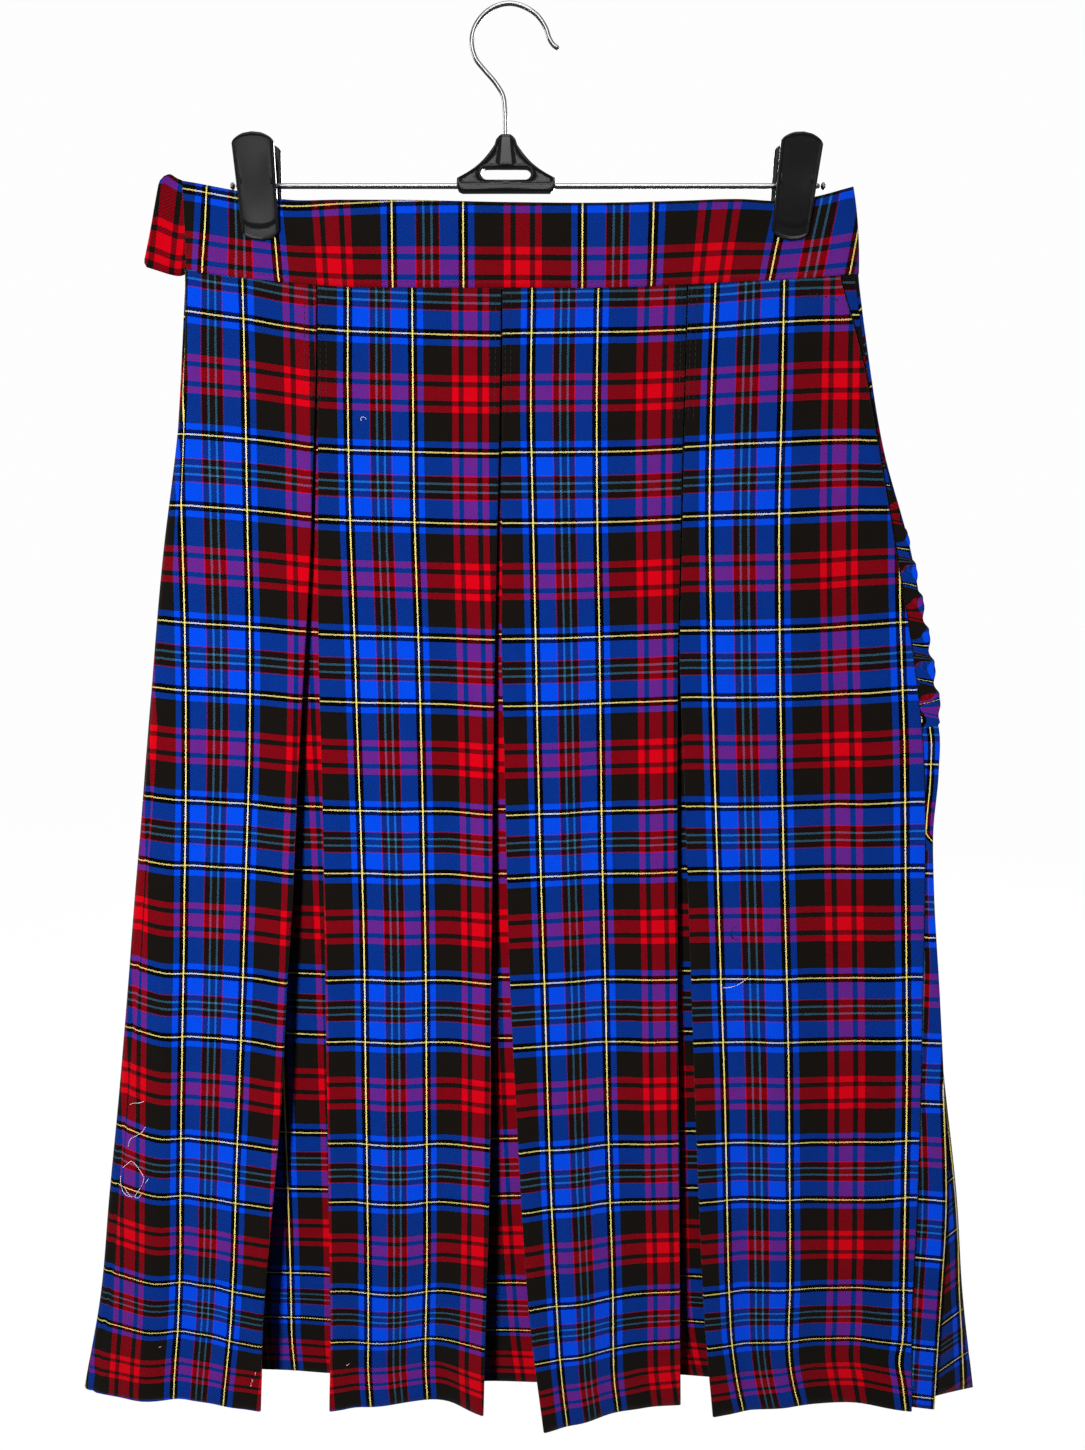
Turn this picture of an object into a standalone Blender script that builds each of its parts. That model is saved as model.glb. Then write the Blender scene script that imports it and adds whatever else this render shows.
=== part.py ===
"""A mid-length box-pleated plaid skirt, held flat by its waistband on a clip hanger.

Metres, +Z up, the viewer at -Y. The origin is the inner top of the hanger's hook, where a rail
would touch it. Sizes below are in millimetres and are turned into metres as points are made.
"""

import math

import bmesh
import bpy
import numpy as np

MM = 0.001

# Cloth
CLOTH_WALL = 1.2          # one layer of the skirt
BAND_WALL = 2.0           # the folded and interfaced waistband
SEAM_GAP = 0.3            # between pieces that are sewn together
WAIST_JOIN = 0.6          # between the skirt's top and the band's lower edge
LAYER_PITCH = 1.65        # from the middle of one layer to the next where pleats are pressed
FOLD_RUN = 1.0            # how far a pressed fold's round reaches along the cloth
# The middle of a fold's nose lies this far inside the fold's outer edge.
NOSE_INSET = CLOTH_WALL / 2 / math.sin(math.atan2(LAYER_PITCH / 2, FOLD_RUN))

# Heights
WAIST_SEAM_Z = -150.4     # where the skirt is sewn to the band, at its lowest
SKIRT_DROP = 703.0        # from the waist seam to the hem
BAND_HEIGHT = 47.0
STACK_LIFT = 5.0          # how far the pressed front and back stand off the middle plane at the top

# How the band rises towards its ends, because the clips hold it: across, its seam, its top edge
WAIST_RISE = (
    (-190, 9.6, 8.8), (-154, 5.3, 2.7), (-126, 2.7, -0.4), (-97, 0.5, 0.3), (-60, 0.0, 1.0),
    (0, 0.0, 0.0), (60, 0.0, -0.2), (98, 1.6, 0.8), (130, 3.2, 1.7), (156, 4.3, 0.9),
    (174, 5.6, 3.2), (202, 8.0, 9.0),
)

# Each row is a height of the front: drop below the waist seam, then across at each fold line.
FRONT_COLUMNS = ("drop", "side_left", "p1_right", "p2_left", "p2_right", "p3_left", "p3_right",
                 "p4_left", "p4_right", "strip", "side_right")
FRONT_ROWS = (
    (0, -186.5, -111.2, -110.6, -5.5, -4.9, 100.8, 101.4, 187.8, 184.0, 199.6),
    (45, -189.3, -112.9, -111.8, -6.3, -5.3, 100.3, 100.9, 202.4, 198.5, 207.6),
    (95, -196.6, -115.7, -113.0, -7.4, -5.7, 99.8, 100.4, 214.0, 210.0, 218.6),
    (155, -207.3, -119.2, -114.6, -9.0, -6.0, 99.5, 100.1, 227.0, 223.0, 238.0),
    (215, -216.0, -124.2, -115.8, -10.4, -6.2, 99.2, 99.9, 239.5, 236.5, 250.4),
    (285, -224.9, -130.0, -115.6, -11.8, -4.6, 100.0, 103.5, 249.2, 262.0, 257.6),
    (355, -235.0, -134.9, -116.0, -12.7, -3.4, 101.2, 107.0, 252.5, 259.5, 256.6),
    (425, -244.2, -141.0, -116.9, -13.9, -1.4, 102.5, 110.4, 254.2, 268.8, 266.4),
    (495, -253.8, -146.2, -117.5, -14.4, 1.9, 104.4, 113.8, 255.8, 275.2, 277.4),
    (565, -264.2, -154.0, -118.3, -15.8, 5.4, 105.8, 117.4, 256.6, 277.6, 287.6),
    (635, -274.0, -161.6, -118.8, -18.2, 10.4, 107.3, 121.7, 256.2, 277.0, 295.4),
    (703, -288.8, -165.6, -121.0, -20.2, 18.6, 108.8, 128.2, 258.8, 276.6, 306.0),
)

# How far the front stands forward of the middle plane at the hem: at each panel's left fold, one
# third and two thirds across, and at its right fold
FRONT_HEM_LIFTS = {
    "p1": (6, 15, 17, 26),
    "p2": (26, 21, 14, 30),
    "p3": (45, 35, 23, 20),
    "p4": (31, 22, 18, 26),
}
# The same for the underlays between the panels, left and right, and for the two side pleats.
FRONT_UNDERLAY_LIFTS = ((-9.0, -3.0), (6.0, 7.0), (-4.0, 3.0))
STRIP_HEM_LIFT = 24.0
STRIP_INNER_HEM_LIFT = 15.5
OUTER_HEM_LIFTS = (16.0, 9.0, 3.0)
PLEAT_DEPTH = 47.0        # the hidden return behind a panel's edge where the pleat is closed
SIDE_PLEAT_DEPTH = 26.0
STRIP_RETURN = 8.0
LIFT_POWER = 1.25         # how the lifts grow from the waist to the hem

# The back: drop below the waist seam, then across at each fold line.
BACK_COLUMNS = ("drop", "side_left", "b1_right", "b2_left", "b2_right", "b3_left", "b3_right",
                "b4_left", "side_right")
BACK_ROWS = (
    (0, -186.5, -102.3, -101.7, -2.3, -1.7, 98.7, 99.3, 199.6),
    (95, -196.6, -105.8, -103.6, -3.4, -1.4, 101.0, 103.0, 218.6),
    (215, -216.0, -113.5, -107.0, -5.5, -0.5, 104.6, 110.4, 250.4),
    (355, -235.0, -124.0, -111.0, -8.2, 1.6, 108.6, 119.8, 256.6),
    (495, -253.8, -136.0, -115.2, -11.6, 4.4, 112.2, 131.0, 277.4),
    (635, -274.0, -149.5, -119.6, -15.2, 9.0, 115.4, 143.8, 295.4),
    (703, -288.8, -157.0, -122.0, -17.4, 11.8, 117.0, 150.6, 306.0),
)
# The same lifts for the back, which stands off the middle plane the other way
BACK_HEM_LIFTS = {
    "b1": (9, 30, 38, 44),
    "b2": (42, 36, 35, 41),
    "b3": (45, 37, 34, 40),
    "b4": (43, 37, 30, 9),
}
BACK_UNDERLAY_LIFTS = ((21.0, 24.0), (24.0, 22.0), (22.0, 20.0))

MESH_DROPS = (0, 22, 55, 100, 155, 215, 285, 355, 425, 495, 565, 635, 703)

# The rippled underlap behind the fourth panel's slanting edge
PLACKET_LENGTH = 276.0
PLACKET_RIPPLE = 19.0     # from one ripple to the next
PLACKET_SWELL = 2.6       # how far a ripple stands forward
PLACKET_START = 90.0      # where the ripples begin
PLACKET_ROWS = 50

# Waistband: how far each half stands off the middle plane
BAND_TOP_LIFT = 2.0
BAND_BOTTOM_LIFT = 5.6
BAND_PINCH_LIFT = 1.35
BAND_LEFT = -186.0
BAND_RIGHT = 200.0
BAND_SLANT = (5.0, 0.8, 30.0)    # how far the right end leans in: top, bottom, over this length
# The tab: how far its top and lower edges reach, and how far they stand above the band's own
# edges: part of the way along, lower edge, top edge
TAB_REACHES = (17.4, 29.3)
TAB_EDGES = (
    (0.0, 0.6, 0.6), (0.2, 1.1, 3.6), (0.4, -0.5, 5.3), (0.6, 0.2, 6.7), (0.8, 1.7, 8.3),
    (1.0, 3.2, 7.0),
)

# Hanger
WIRE_RADIUS = 1.3
BAR_Z = -96.0
BAR_RADIUS = 1.5
BAR_ENDS = (-156.0, 175.5)
CAP_RADIUS = 2.1
CAP_LENGTH = 3.0
BLOCK_TOP_Z = -67.6
BLOCK_BOTTOM_Z = -99.4
BLOCK_HALF_TOP = 3.6
BLOCK_HALF_WAIST = 6.4
BLOCK_HALF_BOTTOM = 27.8
BLOCK_CENTRE_X = -2.6
BLOCK_THICK = 9.0
SLOT_WIDTH = 28.2
SLOT_HEIGHT = 6.8
SLOT_Z = -88.3

# Clips: where each hangs on the bar, how far it leans in the front view
CLIPS = {"left": (-142.6, math.radians(-2.0)), "right": (160.6, math.radians(5.0))}
JAW_HEIGHT = 57.0
JAW_TOP_WIDTH = 23.6
JAW_BOTTOM_WIDTH = 21.0
JAW_THICK = 3.2
JAW_TOP_Z = 28.0          # above the bar
JAW_TOP_LIFT = 12.4       # the outer face's distance from the middle plane at its top
JAW_BOTTOM_LIFT = 6.0
EAR_THICK = 1.5
EAR_BELOW = 3.6           # the ears' reach below and above the bar's middle
EAR_ABOVE = 10.0
SPRING_RADIUS = 3.6


def material(name, colour, roughness, metallic=0.0):
    mat = bpy.data.materials.new(name)
    mat.use_nodes = True
    shader = mat.node_tree.nodes["Principled BSDF"]
    shader.inputs["Base Color"].default_value = (*colour, 1.0)
    shader.inputs["Roughness"].default_value = roughness
    shader.inputs["Metallic"].default_value = metallic
    return mat


def clear_scene():
    for obj in list(bpy.data.objects):
        bpy.data.objects.remove(obj)


def new_collection(name):
    made = bpy.data.collections.new(name)
    bpy.context.scene.collection.children.link(made)
    return made


def add_object(name, data, mat, collection):
    obj = bpy.data.objects.new(name, data)
    if mat is not None:
        data.materials.append(mat)
    collection.objects.link(obj)
    return obj


def smooth_curve(xs, ys, at):
    """A smooth curve through the points, with the slopes of a Catmull-Rom spline."""
    xs, ys = np.asarray(xs, float), np.asarray(ys, float)
    slopes = np.gradient(ys, xs)
    at = np.clip(np.asarray(at, float), xs[0], xs[-1])
    i = np.clip(np.searchsorted(xs, at, side="right") - 1, 0, len(xs) - 2)
    width = xs[i + 1] - xs[i]
    t = (at - xs[i]) / width
    rise = ys[i] * (1 + 2 * t) * (1 - t) ** 2 + ys[i + 1] * t * t * (3 - 2 * t)
    return rise + width * (slopes[i] * t * (1 - t) ** 2 - slopes[i + 1] * t * t * (1 - t))


def read_row(columns, rows, drop):
    """The fold lines' places at one drop, by name."""
    table = np.array(rows, float)
    return {
        name: float(smooth_curve(table[:, 0], table[:, k], drop))
        for k, name in enumerate(columns)
        if k > 0
    }


def waist_rise(x, part=1.0):
    """How far the band is raised at x; part is 0 at its top edge and 1 at its seam."""
    across, seam, top = np.array(WAIST_RISE, float).T
    return smooth_curve(across, seam * part + top * (1 - part), x)


def grown(top, hem, drop):
    """A lift that starts as top at the waist and grows to hem."""
    return top + (hem - top) * (drop / SKIRT_DROP) ** LIFT_POWER


def panel(left, right, hem_lifts, drop):
    """Points inside one flat panel, between its two folds."""
    parts = (0.0, 1 / 3, 2 / 3, 1.0)
    lifts = [grown(STACK_LIFT, hem, drop) for hem in hem_lifts]
    inner = (0.2, 0.5, 0.8)
    return [(left + (right - left) * f, float(smooth_curve(parts, lifts, f))) for f in inner]


def outer_fold(x, lift, side):
    """A pressed fold at a panel's edge; side is 1 at its right-hand edge and -1 at its left."""
    return [
        (x - side * FOLD_RUN, lift),
        (x, lift - LAYER_PITCH / 2),
        (x - side * FOLD_RUN, lift - LAYER_PITCH),
    ]


def inner_fold(x, lift, side):
    """The fold between a return and an underlay, deep behind the panel."""
    return [
        (x + side * FOLD_RUN, lift + LAYER_PITCH),
        (x, lift + LAYER_PITCH / 2),
        (x + side * FOLD_RUN, lift),
    ]


def middle(a, b, bow=0.0):
    return ((a[0] + b[0]) / 2, (a[1] + b[1]) / 2 + bow)


def pleat(left, right, left_lift, right_lift, underlay, drop, depth=PLEAT_DEPTH):
    """The hidden cloth between two panels: return, underlay, return."""
    reach = depth - (right - left) / 2
    top = STACK_LIFT - 2 * LAYER_PITCH
    lift_a, lift_b = grown(top, underlay[0], drop), grown(top, underlay[1], drop)
    first = outer_fold(left, left_lift, 1)
    second = inner_fold(left - reach, lift_a, 1)
    third = inner_fold(right + reach, lift_b, -1)[::-1]
    fourth = outer_fold(right, right_lift, -1)[::-1]
    under = [
        (second[2][0] + (third[0][0] - second[2][0]) * f, lift_a + (lift_b - lift_a) * f)
        for f in (0.35, 0.65)
    ]
    return [
        *first, middle(first[2], second[0]), *second, *under,
        *third, middle(third[2], fourth[0]), *fourth,
    ]


def edge_lift(hem_lifts, which, drop):
    return grown(STACK_LIFT, hem_lifts[which], drop)


def side_end(x, lift, drop, side, seam_lift):
    """The curve that carries a wall round to its side seam; side is -1 at the left."""
    run = min(4.0 + 0.010 * drop, 0.8 * (lift - seam_lift) + 2.0)
    depth = lift - seam_lift
    return [
        (x - side * run, seam_lift + depth * 0.97),
        (x - side * run * 0.3, seam_lift + depth * 0.66),
        (x, seam_lift + depth * 0.2),
        (x - side * 0.1, seam_lift),
    ]


def outer_lifts(drop):
    """The outer side pleat lies a little behind the middle plane at the waist."""
    top = STACK_LIFT - 4 * LAYER_PITCH
    return [grown(top, hem, drop) for hem in OUTER_HEM_LIFTS]


def front_section(drop):
    """The front's middle line at one drop, left to right, as (across, lift)."""
    at = read_row(FRONT_COLUMNS, FRONT_ROWS, drop)
    lifts = FRONT_HEM_LIFTS
    left = grown(STACK_LIFT, lifts["p1"][0], drop)
    line = side_end(at["side_left"], left, drop, -1, SEAM_GAP / 2)[::-1]
    line += panel(at["side_left"], at["p1_right"], lifts["p1"], drop)
    for k, under in enumerate(FRONT_UNDERLAY_LIFTS, start=1):
        a, b = f"p{k}", f"p{k + 1}"
        line += pleat(
            at[f"{a}_right"] - NOSE_INSET, at[f"{b}_left"] + NOSE_INSET,
            edge_lift(lifts[a], 3, drop), edge_lift(lifts[b], 0, drop), under, drop,
        )
        line += panel(at[f"{b}_left"], at[f"{b}_right"], lifts[b], drop)
    line += right_side(at, edge_lift(lifts["p4"], 3, drop), drop)
    return line


def right_side(at, lift, drop):
    """The fourth panel's edge, the strip pleat behind it and the outer pleat at the side."""
    top = STACK_LIFT - 2 * LAYER_PITCH
    strip_in = grown(top, STRIP_INNER_HEM_LIFT, drop)
    strip_out = grown(top, STRIP_HEM_LIFT, drop)
    outer = outer_lifts(drop)
    first = outer_fold(at["p4_right"] - NOSE_INSET, lift, 1)
    second = inner_fold(at["p4_right"] - SIDE_PLEAT_DEPTH, strip_in, 1)
    third = outer_fold(at["strip"] - NOSE_INSET, strip_out, 1)
    fourth = inner_fold(at["strip"] - NOSE_INSET - STRIP_RETURN, outer[0], 1)
    end = at["side_right"]
    return [
        *first, middle(first[2], second[0]), *second, middle(second[2], third[0]), *third,
        *fourth, ((fourth[2][0] + end) / 2, outer[1]), (end, outer[2]),
    ]


def back_section(drop):
    """The back's middle line at one drop, left to right, as (across, lift)."""
    at = read_row(BACK_COLUMNS, BACK_ROWS, drop)
    lifts = BACK_HEM_LIFTS
    left = grown(STACK_LIFT, lifts["b1"][0], drop)
    right = grown(STACK_LIFT, lifts["b4"][3], drop)
    line = side_end(at["side_left"], left, drop, -1, SEAM_GAP / 2)[::-1]
    line += panel(at["side_left"], at["b1_right"], lifts["b1"], drop)
    for k, under in enumerate(BACK_UNDERLAY_LIFTS, start=1):
        a, b = f"b{k}", f"b{k + 1}"
        line += pleat(
            at[f"{a}_right"] - NOSE_INSET, at[f"{b}_left"] + NOSE_INSET,
            edge_lift(lifts[a], 3, drop), edge_lift(lifts[b], 0, drop), under, drop,
        )
        end = at["side_right"] if b == "b4" else at[f"{b}_right"]
        line += panel(at[f"{b}_left"], end, lifts[b], drop)
    seam = CLOTH_WALL / 2 + SEAM_GAP - outer_lifts(drop)[2]
    return line + side_end(at["side_right"] - CLOTH_WALL / 2, right, drop, 1, seam)


def wall_points(section, facing):
    """Rows of points, waist to hem. facing is -1 for the front and 1 for the back."""
    rows = []
    for drop in MESH_DROPS:
        line = np.array(section(drop))
        fall = drop / SKIRT_DROP
        rise = waist_rise(line[:, 0]) * (1 - fall) ** 2
        z = WAIST_SEAM_Z - WAIST_JOIN - drop + rise
        rows.append(np.column_stack([line[:, 0], facing * line[:, 1], z]))
    return np.array(rows) * MM


def sheet(name, points, wall, mat, collection):
    """An open surface through a grid of points, given its wall by Solidify."""
    rows, columns = points.shape[:2]
    faces = [
        (r * columns + c, r * columns + c + 1, (r + 1) * columns + c + 1, (r + 1) * columns + c)
        for r in range(rows - 1)
        for c in range(columns - 1)
    ]
    mesh = bpy.data.meshes.new(name)
    mesh.from_pydata(points.reshape(-1, 3).tolist(), [], faces)
    mesh.shade_smooth()
    obj = add_object(name, mesh, mat, collection)
    solidify = obj.modifiers.new("wall", "SOLIDIFY")
    solidify.thickness = wall * MM
    solidify.offset = 0
    solidify.use_even_offset = True
    return obj


def placket_points():
    """The rippled underlap: its inner edge hugs the fourth panel's fold, its tip is rounded."""
    rows = []
    across = np.array([0.0, 0.3, 0.62, 0.86, 1.0])
    for drop in np.linspace(0, PLACKET_LENGTH, PLACKET_ROWS):
        at = read_row(FRONT_COLUMNS, FRONT_ROWS, drop)
        inner = at["p4_right"] + SEAM_GAP + CLOTH_WALL / 2
        shown = min(1.0, max(0.0, (drop - PLACKET_START) / 60))
        wave = 0.5 - 0.5 * math.cos(2 * math.pi * drop / PLACKET_RIPPLE)
        tip = max(0.0, (drop - PLACKET_LENGTH + 16) / 16)
        outer = at["side_right"] - 0.9 + 1.1 * wave * shown + 5.0 * min(1.0, drop / 270) ** 4
        outer = inner + 2.5 + (outer - inner - 2.5) * math.sqrt(max(0.0, 1 - tip**2.4))
        base = 0.1 + 12.2 * (drop / 285) ** 1.5
        swell = PLACKET_SWELL * wave * shown
        lift = base + swell * np.sin(np.pi * np.clip(across * 1.1, 0, 1)) + 0.6 * swell * across
        z = WAIST_SEAM_Z - WAIST_JOIN - drop + waist_rise(outer) * (1 - drop / SKIRT_DROP) ** 2
        x = inner + (outer - inner) * across
        rows.append(np.column_stack([x, -lift, np.full(len(x), z)]))
    return np.array(rows) * MM


def band_lift(x, part):
    """How far a half of the band stands off the middle plane; part is 0 at its top, 1 at its seam."""
    away = min(abs(x - place) for place, _ in CLIPS.values())
    free = min(1.0, max(0.0, (away - 13.0) / 30.0))
    free = free * free * (3 - 2 * free)
    pinched = BAND_PINCH_LIFT + (BAND_BOTTOM_LIFT - BAND_PINCH_LIFT) * max(0.0, part - 0.5) / 0.5
    open_lift = BAND_TOP_LIFT + (BAND_BOTTOM_LIFT - BAND_TOP_LIFT) * part
    return pinched + (open_lift - pinched) * free


def band_points(left, right, facing, ends):
    """One half of the band. ends says for each end whether it curves in to meet the other half."""
    xs = np.concatenate([
        [left, left + 0.8, left + 4.0],
        np.linspace(left + 16, right - 16, 17),
        [right - 4.0, right - 0.8, right],
    ])
    curve_in = {0: 0.42, 1: 0.72, 2: 0.93}
    top_lean, lower_lean, length = BAND_SLANT
    rows = []
    for part in (0.0, 0.25, 0.5, 0.75, 1.0):
        row = []
        for k, x in enumerate(xs):
            lift = band_lift(x, part)
            near = min(k, len(xs) - 1 - k)
            if near in curve_in and ends[0 if k < 3 else 1]:
                least = BAND_WALL / 2 + SEAM_GAP
                lift = max(least, lift * curve_in[near])
            z = WAIST_SEAM_Z + BAND_HEIGHT * (1 - part) + waist_rise(x, part)
            lean = (top_lean * (1 - part) ** 2 + lower_lean) * max(0.0, 1 - (right - x) / length)
            row.append((x - lean, facing * lift, z))
        rows.append(row)
    return np.array(rows) * MM


def tab_points(start):
    """The band's extension, dropping away to the left, its lower edge swung outwards."""
    rows = []
    for part in np.linspace(0, 1, 4):
        row = []
        seam_lift = band_lift(start, part)
        reach = TAB_REACHES[0] + (TAB_REACHES[1] - TAB_REACHES[0]) * part
        for run, low, high in TAB_EDGES:
            bend = seam_lift * (1 - run) - 0.6 * run + 1.6 * math.sin(math.pi * run)
            above = high + (low - high) * part
            z = WAIST_SEAM_Z + BAND_HEIGHT * (1 - part) + waist_rise(start, part) + above
            row.append((start - reach * run, bend, z))
        rows.append(row[::-1])
    return np.array(rows) * MM


def wire(name, points, radius, mat, collection):
    """A round wire along a polyline of (x, y, z) in millimetres."""
    curve = bpy.data.curves.new(name, "CURVE")
    curve.dimensions = "3D"
    curve.bevel_depth = radius * MM
    curve.bevel_resolution = 2
    curve.use_fill_caps = True
    spline = curve.splines.new("POLY")
    spline.points.add(len(points) - 1)
    for place, point in zip(spline.points, points):
        place.co = (*(value * MM for value in point), 1.0)
    return add_object(name, curve, mat, collection)


def spline_through(points, count):
    """A smooth path through a few (x, z) points, evenly spaced."""
    points = np.array(points, float)
    along = np.concatenate([[0], np.cumsum(np.linalg.norm(np.diff(points, axis=0), axis=1))])
    at = np.linspace(0, along[-1], count)
    return np.column_stack([smooth_curve(along, points[:, k], at) for k in range(2)])


def hook_path():
    """From inside the block up the stem, round the hook and down to its turned-out tip."""
    stem = [(-2.8, -74.0), (-2.9, -64.0), (-3.1, -54.0), (-4.2, -46.5), (-8.2, -40.0),
            (-14.2, -33.4), (-19.4, -27.0), (-21.4, -20.0)]
    top = [(-20.4, -12.6), (-15.6, -5.2), (-8.4, -0.4), (0.0, WIRE_RADIUS), (8.6, -0.8),
           (15.6, -5.4), (20.0, -11.8), (22.0, -17.2)]
    tip = [(24.2, -20.2), (27.2, -22.2)]
    path = spline_through(stem + top + tip, 44)
    return [(x, 0.0, z) for x, z in path]


def flat_outline(name, outline, thick, mat, collection):
    """A flat piece in the XZ plane: an outline of (x, z) in millimetres, thick along Y."""
    curve = bpy.data.curves.new(name + "_outline", "CURVE")
    curve.dimensions = "2D"
    curve.fill_mode = "BOTH"
    curve.extrude = thick / 2 * MM
    spline = curve.splines.new("POLY")
    spline.points.add(len(outline) - 1)
    for place, (x, z) in zip(spline.points, outline):
        place.co = (x * MM, z * MM, 0.0, 1.0)
    spline.use_cyclic_u = True
    guide = bpy.data.objects.new(name + "_guide", curve)
    collection.objects.link(guide)
    bpy.context.view_layer.update()
    graph = bpy.context.evaluated_depsgraph_get()
    mesh = bpy.data.meshes.new_from_object(guide.evaluated_get(graph))
    bpy.data.objects.remove(guide)
    shape = bmesh.new()
    shape.from_mesh(mesh)
    bmesh.ops.remove_doubles(shape, verts=shape.verts, dist=1e-6)
    for vert in shape.verts:
        vert.co = (vert.co.x, -vert.co.z, vert.co.y)
    bmesh.ops.recalc_face_normals(shape, faces=shape.faces)
    shape.to_mesh(mesh)
    shape.free()
    mesh.name = name
    mesh.materials.clear()
    return add_object(name, mesh, mat, collection)


def bevel(obj, width, segments=2):
    made = obj.modifiers.new("edges", "BEVEL")
    made.width = width * MM
    made.segments = segments
    made.limit_method = "ANGLE"
    made.angle_limit = math.radians(40)
    return made


def rounded(corners, radius, steps=4):
    """A polygon's corners rounded with short arcs."""
    out = []
    count = len(corners)
    for k in range(count):
        here = np.array(corners[k], float)
        before = np.array(corners[k - 1], float) - here
        after = np.array(corners[(k + 1) % count], float) - here
        cut = min(radius, 0.45 * np.linalg.norm(before), 0.45 * np.linalg.norm(after))
        start = here + before / np.linalg.norm(before) * cut
        end = here + after / np.linalg.norm(after) * cut
        for t in np.linspace(0, 1, steps):
            out.append(tuple((1 - t) ** 2 * start + 2 * t * (1 - t) * here + t * t * end))
    return out


def boolean(obj, other, operation):
    made = obj.modifiers.new(operation.lower(), "BOOLEAN")
    made.operation = operation
    made.object = other
    made.solver = "EXACT"
    other.hide_render = True
    other.display_type = "WIRE"
    return made


def cylinder_along_x(name, x_from, x_to, y, z, radius, mat, collection, sides=16):
    mesh = bpy.data.meshes.new(name)
    shape = bmesh.new()
    bmesh.ops.create_cone(
        shape, cap_ends=True, segments=sides, radius1=radius * MM, radius2=radius * MM,
        depth=abs(x_to - x_from) * MM,
    )
    for vert in shape.verts:
        vert.co = (vert.co.z, vert.co.y, -vert.co.x)
    shape.to_mesh(mesh)
    shape.free()
    mesh.shade_smooth()
    mesh.set_sharp_from_angle(angle=math.radians(40))
    obj = add_object(name, mesh, mat, collection)
    obj.location = ((x_from + x_to) / 2 * MM, y * MM, z * MM)
    return obj


def block_outline():
    """A triangle with hollowed slopes, standing on a short upright foot."""
    foot = 7.0
    slope = []
    for t in np.linspace(0, 1, 7):
        sag = 2.6 * math.sin(math.pi * t)
        x = BLOCK_HALF_WAIST + (BLOCK_HALF_BOTTOM - BLOCK_HALF_WAIST) * t
        z = BLOCK_TOP_Z - 5.5 + (BLOCK_BOTTOM_Z + foot - BLOCK_TOP_Z + 5.5) * t
        slope.append((x - sag * 0.6, z - sag * 0.55))
    right = [(BLOCK_HALF_TOP, BLOCK_TOP_Z), (BLOCK_HALF_WAIST - 1.0, BLOCK_TOP_Z - 2.4)]
    right += slope + [(BLOCK_HALF_BOTTOM, BLOCK_BOTTOM_Z + 2.6), (BLOCK_HALF_BOTTOM - 2.6,
                                                               BLOCK_BOTTOM_Z)]
    outline = right + [(-x, z) for x, z in reversed(right)]
    return [(x + BLOCK_CENTRE_X, z) for x, z in outline]


def build_block(mat, parts, cutters):
    block = flat_outline("hanger_block", block_outline(), BLOCK_THICK, mat, parts)
    bevel(block, 1.1)
    half_w, half_h = SLOT_WIDTH / 2, SLOT_HEIGHT / 2
    slot = [(-half_w, -half_h), (half_w, -half_h), (half_w, half_h), (-half_w, half_h)]
    slot = [(x + BLOCK_CENTRE_X, z + SLOT_Z) for x, z in rounded(slot, 3.2)]
    boolean(block, flat_outline("slot_cutter", slot, BLOCK_THICK * 3, None, cutters), "DIFFERENCE")
    bore = cylinder_along_x("bar_bore_cutter", -60, 60, 0, BAR_Z, BAR_RADIUS + SEAM_GAP, None,
                            cutters)
    boolean(block, bore, "DIFFERENCE")
    stem = wire("stem_bore_cutter_path", [(-2.8, 0, -74.4), (-2.9, 0, -66.0), (-2.95, 0, -60.0)],
                WIRE_RADIUS + SEAM_GAP, None, cutters)
    boolean(block, as_mesh(stem, "stem_bore_cutter", cutters), "DIFFERENCE")
    return block


def as_mesh(curve_object, name, collection):
    """A closed mesh of a curve object, which takes its place."""
    bpy.context.view_layer.update()
    graph = bpy.context.evaluated_depsgraph_get()
    mesh = bpy.data.meshes.new_from_object(curve_object.evaluated_get(graph))
    shape = bmesh.new()
    shape.from_mesh(mesh)
    bmesh.ops.remove_doubles(shape, verts=shape.verts, dist=1e-6)
    bmesh.ops.recalc_face_normals(shape, faces=shape.faces)
    shape.to_mesh(mesh)
    shape.free()
    made = add_object(name, mesh, None, collection)
    made.matrix_world = curve_object.matrix_world
    bpy.data.objects.remove(curve_object)
    return made


def jaw_outline():
    top, bottom = JAW_TOP_WIDTH / 2, JAW_BOTTOM_WIDTH / 2
    high, low = JAW_TOP_Z, JAW_TOP_Z - JAW_HEIGHT
    corners = [(-bottom, low), (bottom, low), (top, high), (-top, high)]
    return rounded(corners, 4.2, 4)


def box(name, low, high, mat, collection):
    mesh = bpy.data.meshes.new(name)
    shape = bmesh.new()
    bmesh.ops.create_cube(shape, size=1.0)
    low, high = np.array(low, float), np.array(high, float)
    for vert in shape.verts:
        vert.co = tuple((low + (np.array(vert.co) + 0.5) * (high - low)) * MM)
    shape.to_mesh(mesh)
    shape.free()
    return add_object(name, mesh, mat, collection)


def lean_over(obj, facing, place, lean):
    """Tips a jaw's upright plate onto its slope, then sets the clip on the bar with its lean."""
    slope = math.atan2(JAW_TOP_LIFT - JAW_BOTTOM_LIFT, JAW_HEIGHT)
    centre_lift = JAW_BOTTOM_LIFT + (JAW_TOP_LIFT - JAW_BOTTOM_LIFT) * (
        1 - JAW_TOP_Z / JAW_HEIGHT) - JAW_THICK / 2
    cos_s, sin_s = math.cos(slope), math.sin(slope)
    cos_l, sin_l = math.cos(lean), math.sin(lean)
    for vert in obj.data.vertices:
        x, y, z = (value / MM for value in vert.co)
        y, z = y * cos_s + facing * z * sin_s, z * cos_s - facing * y * sin_s
        y += facing * centre_lift
        x, z = x * cos_l + z * sin_l, z * cos_l - x * sin_l
        vert.co = ((x + place) * MM, y * MM, (z + BAR_Z) * MM)


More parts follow.
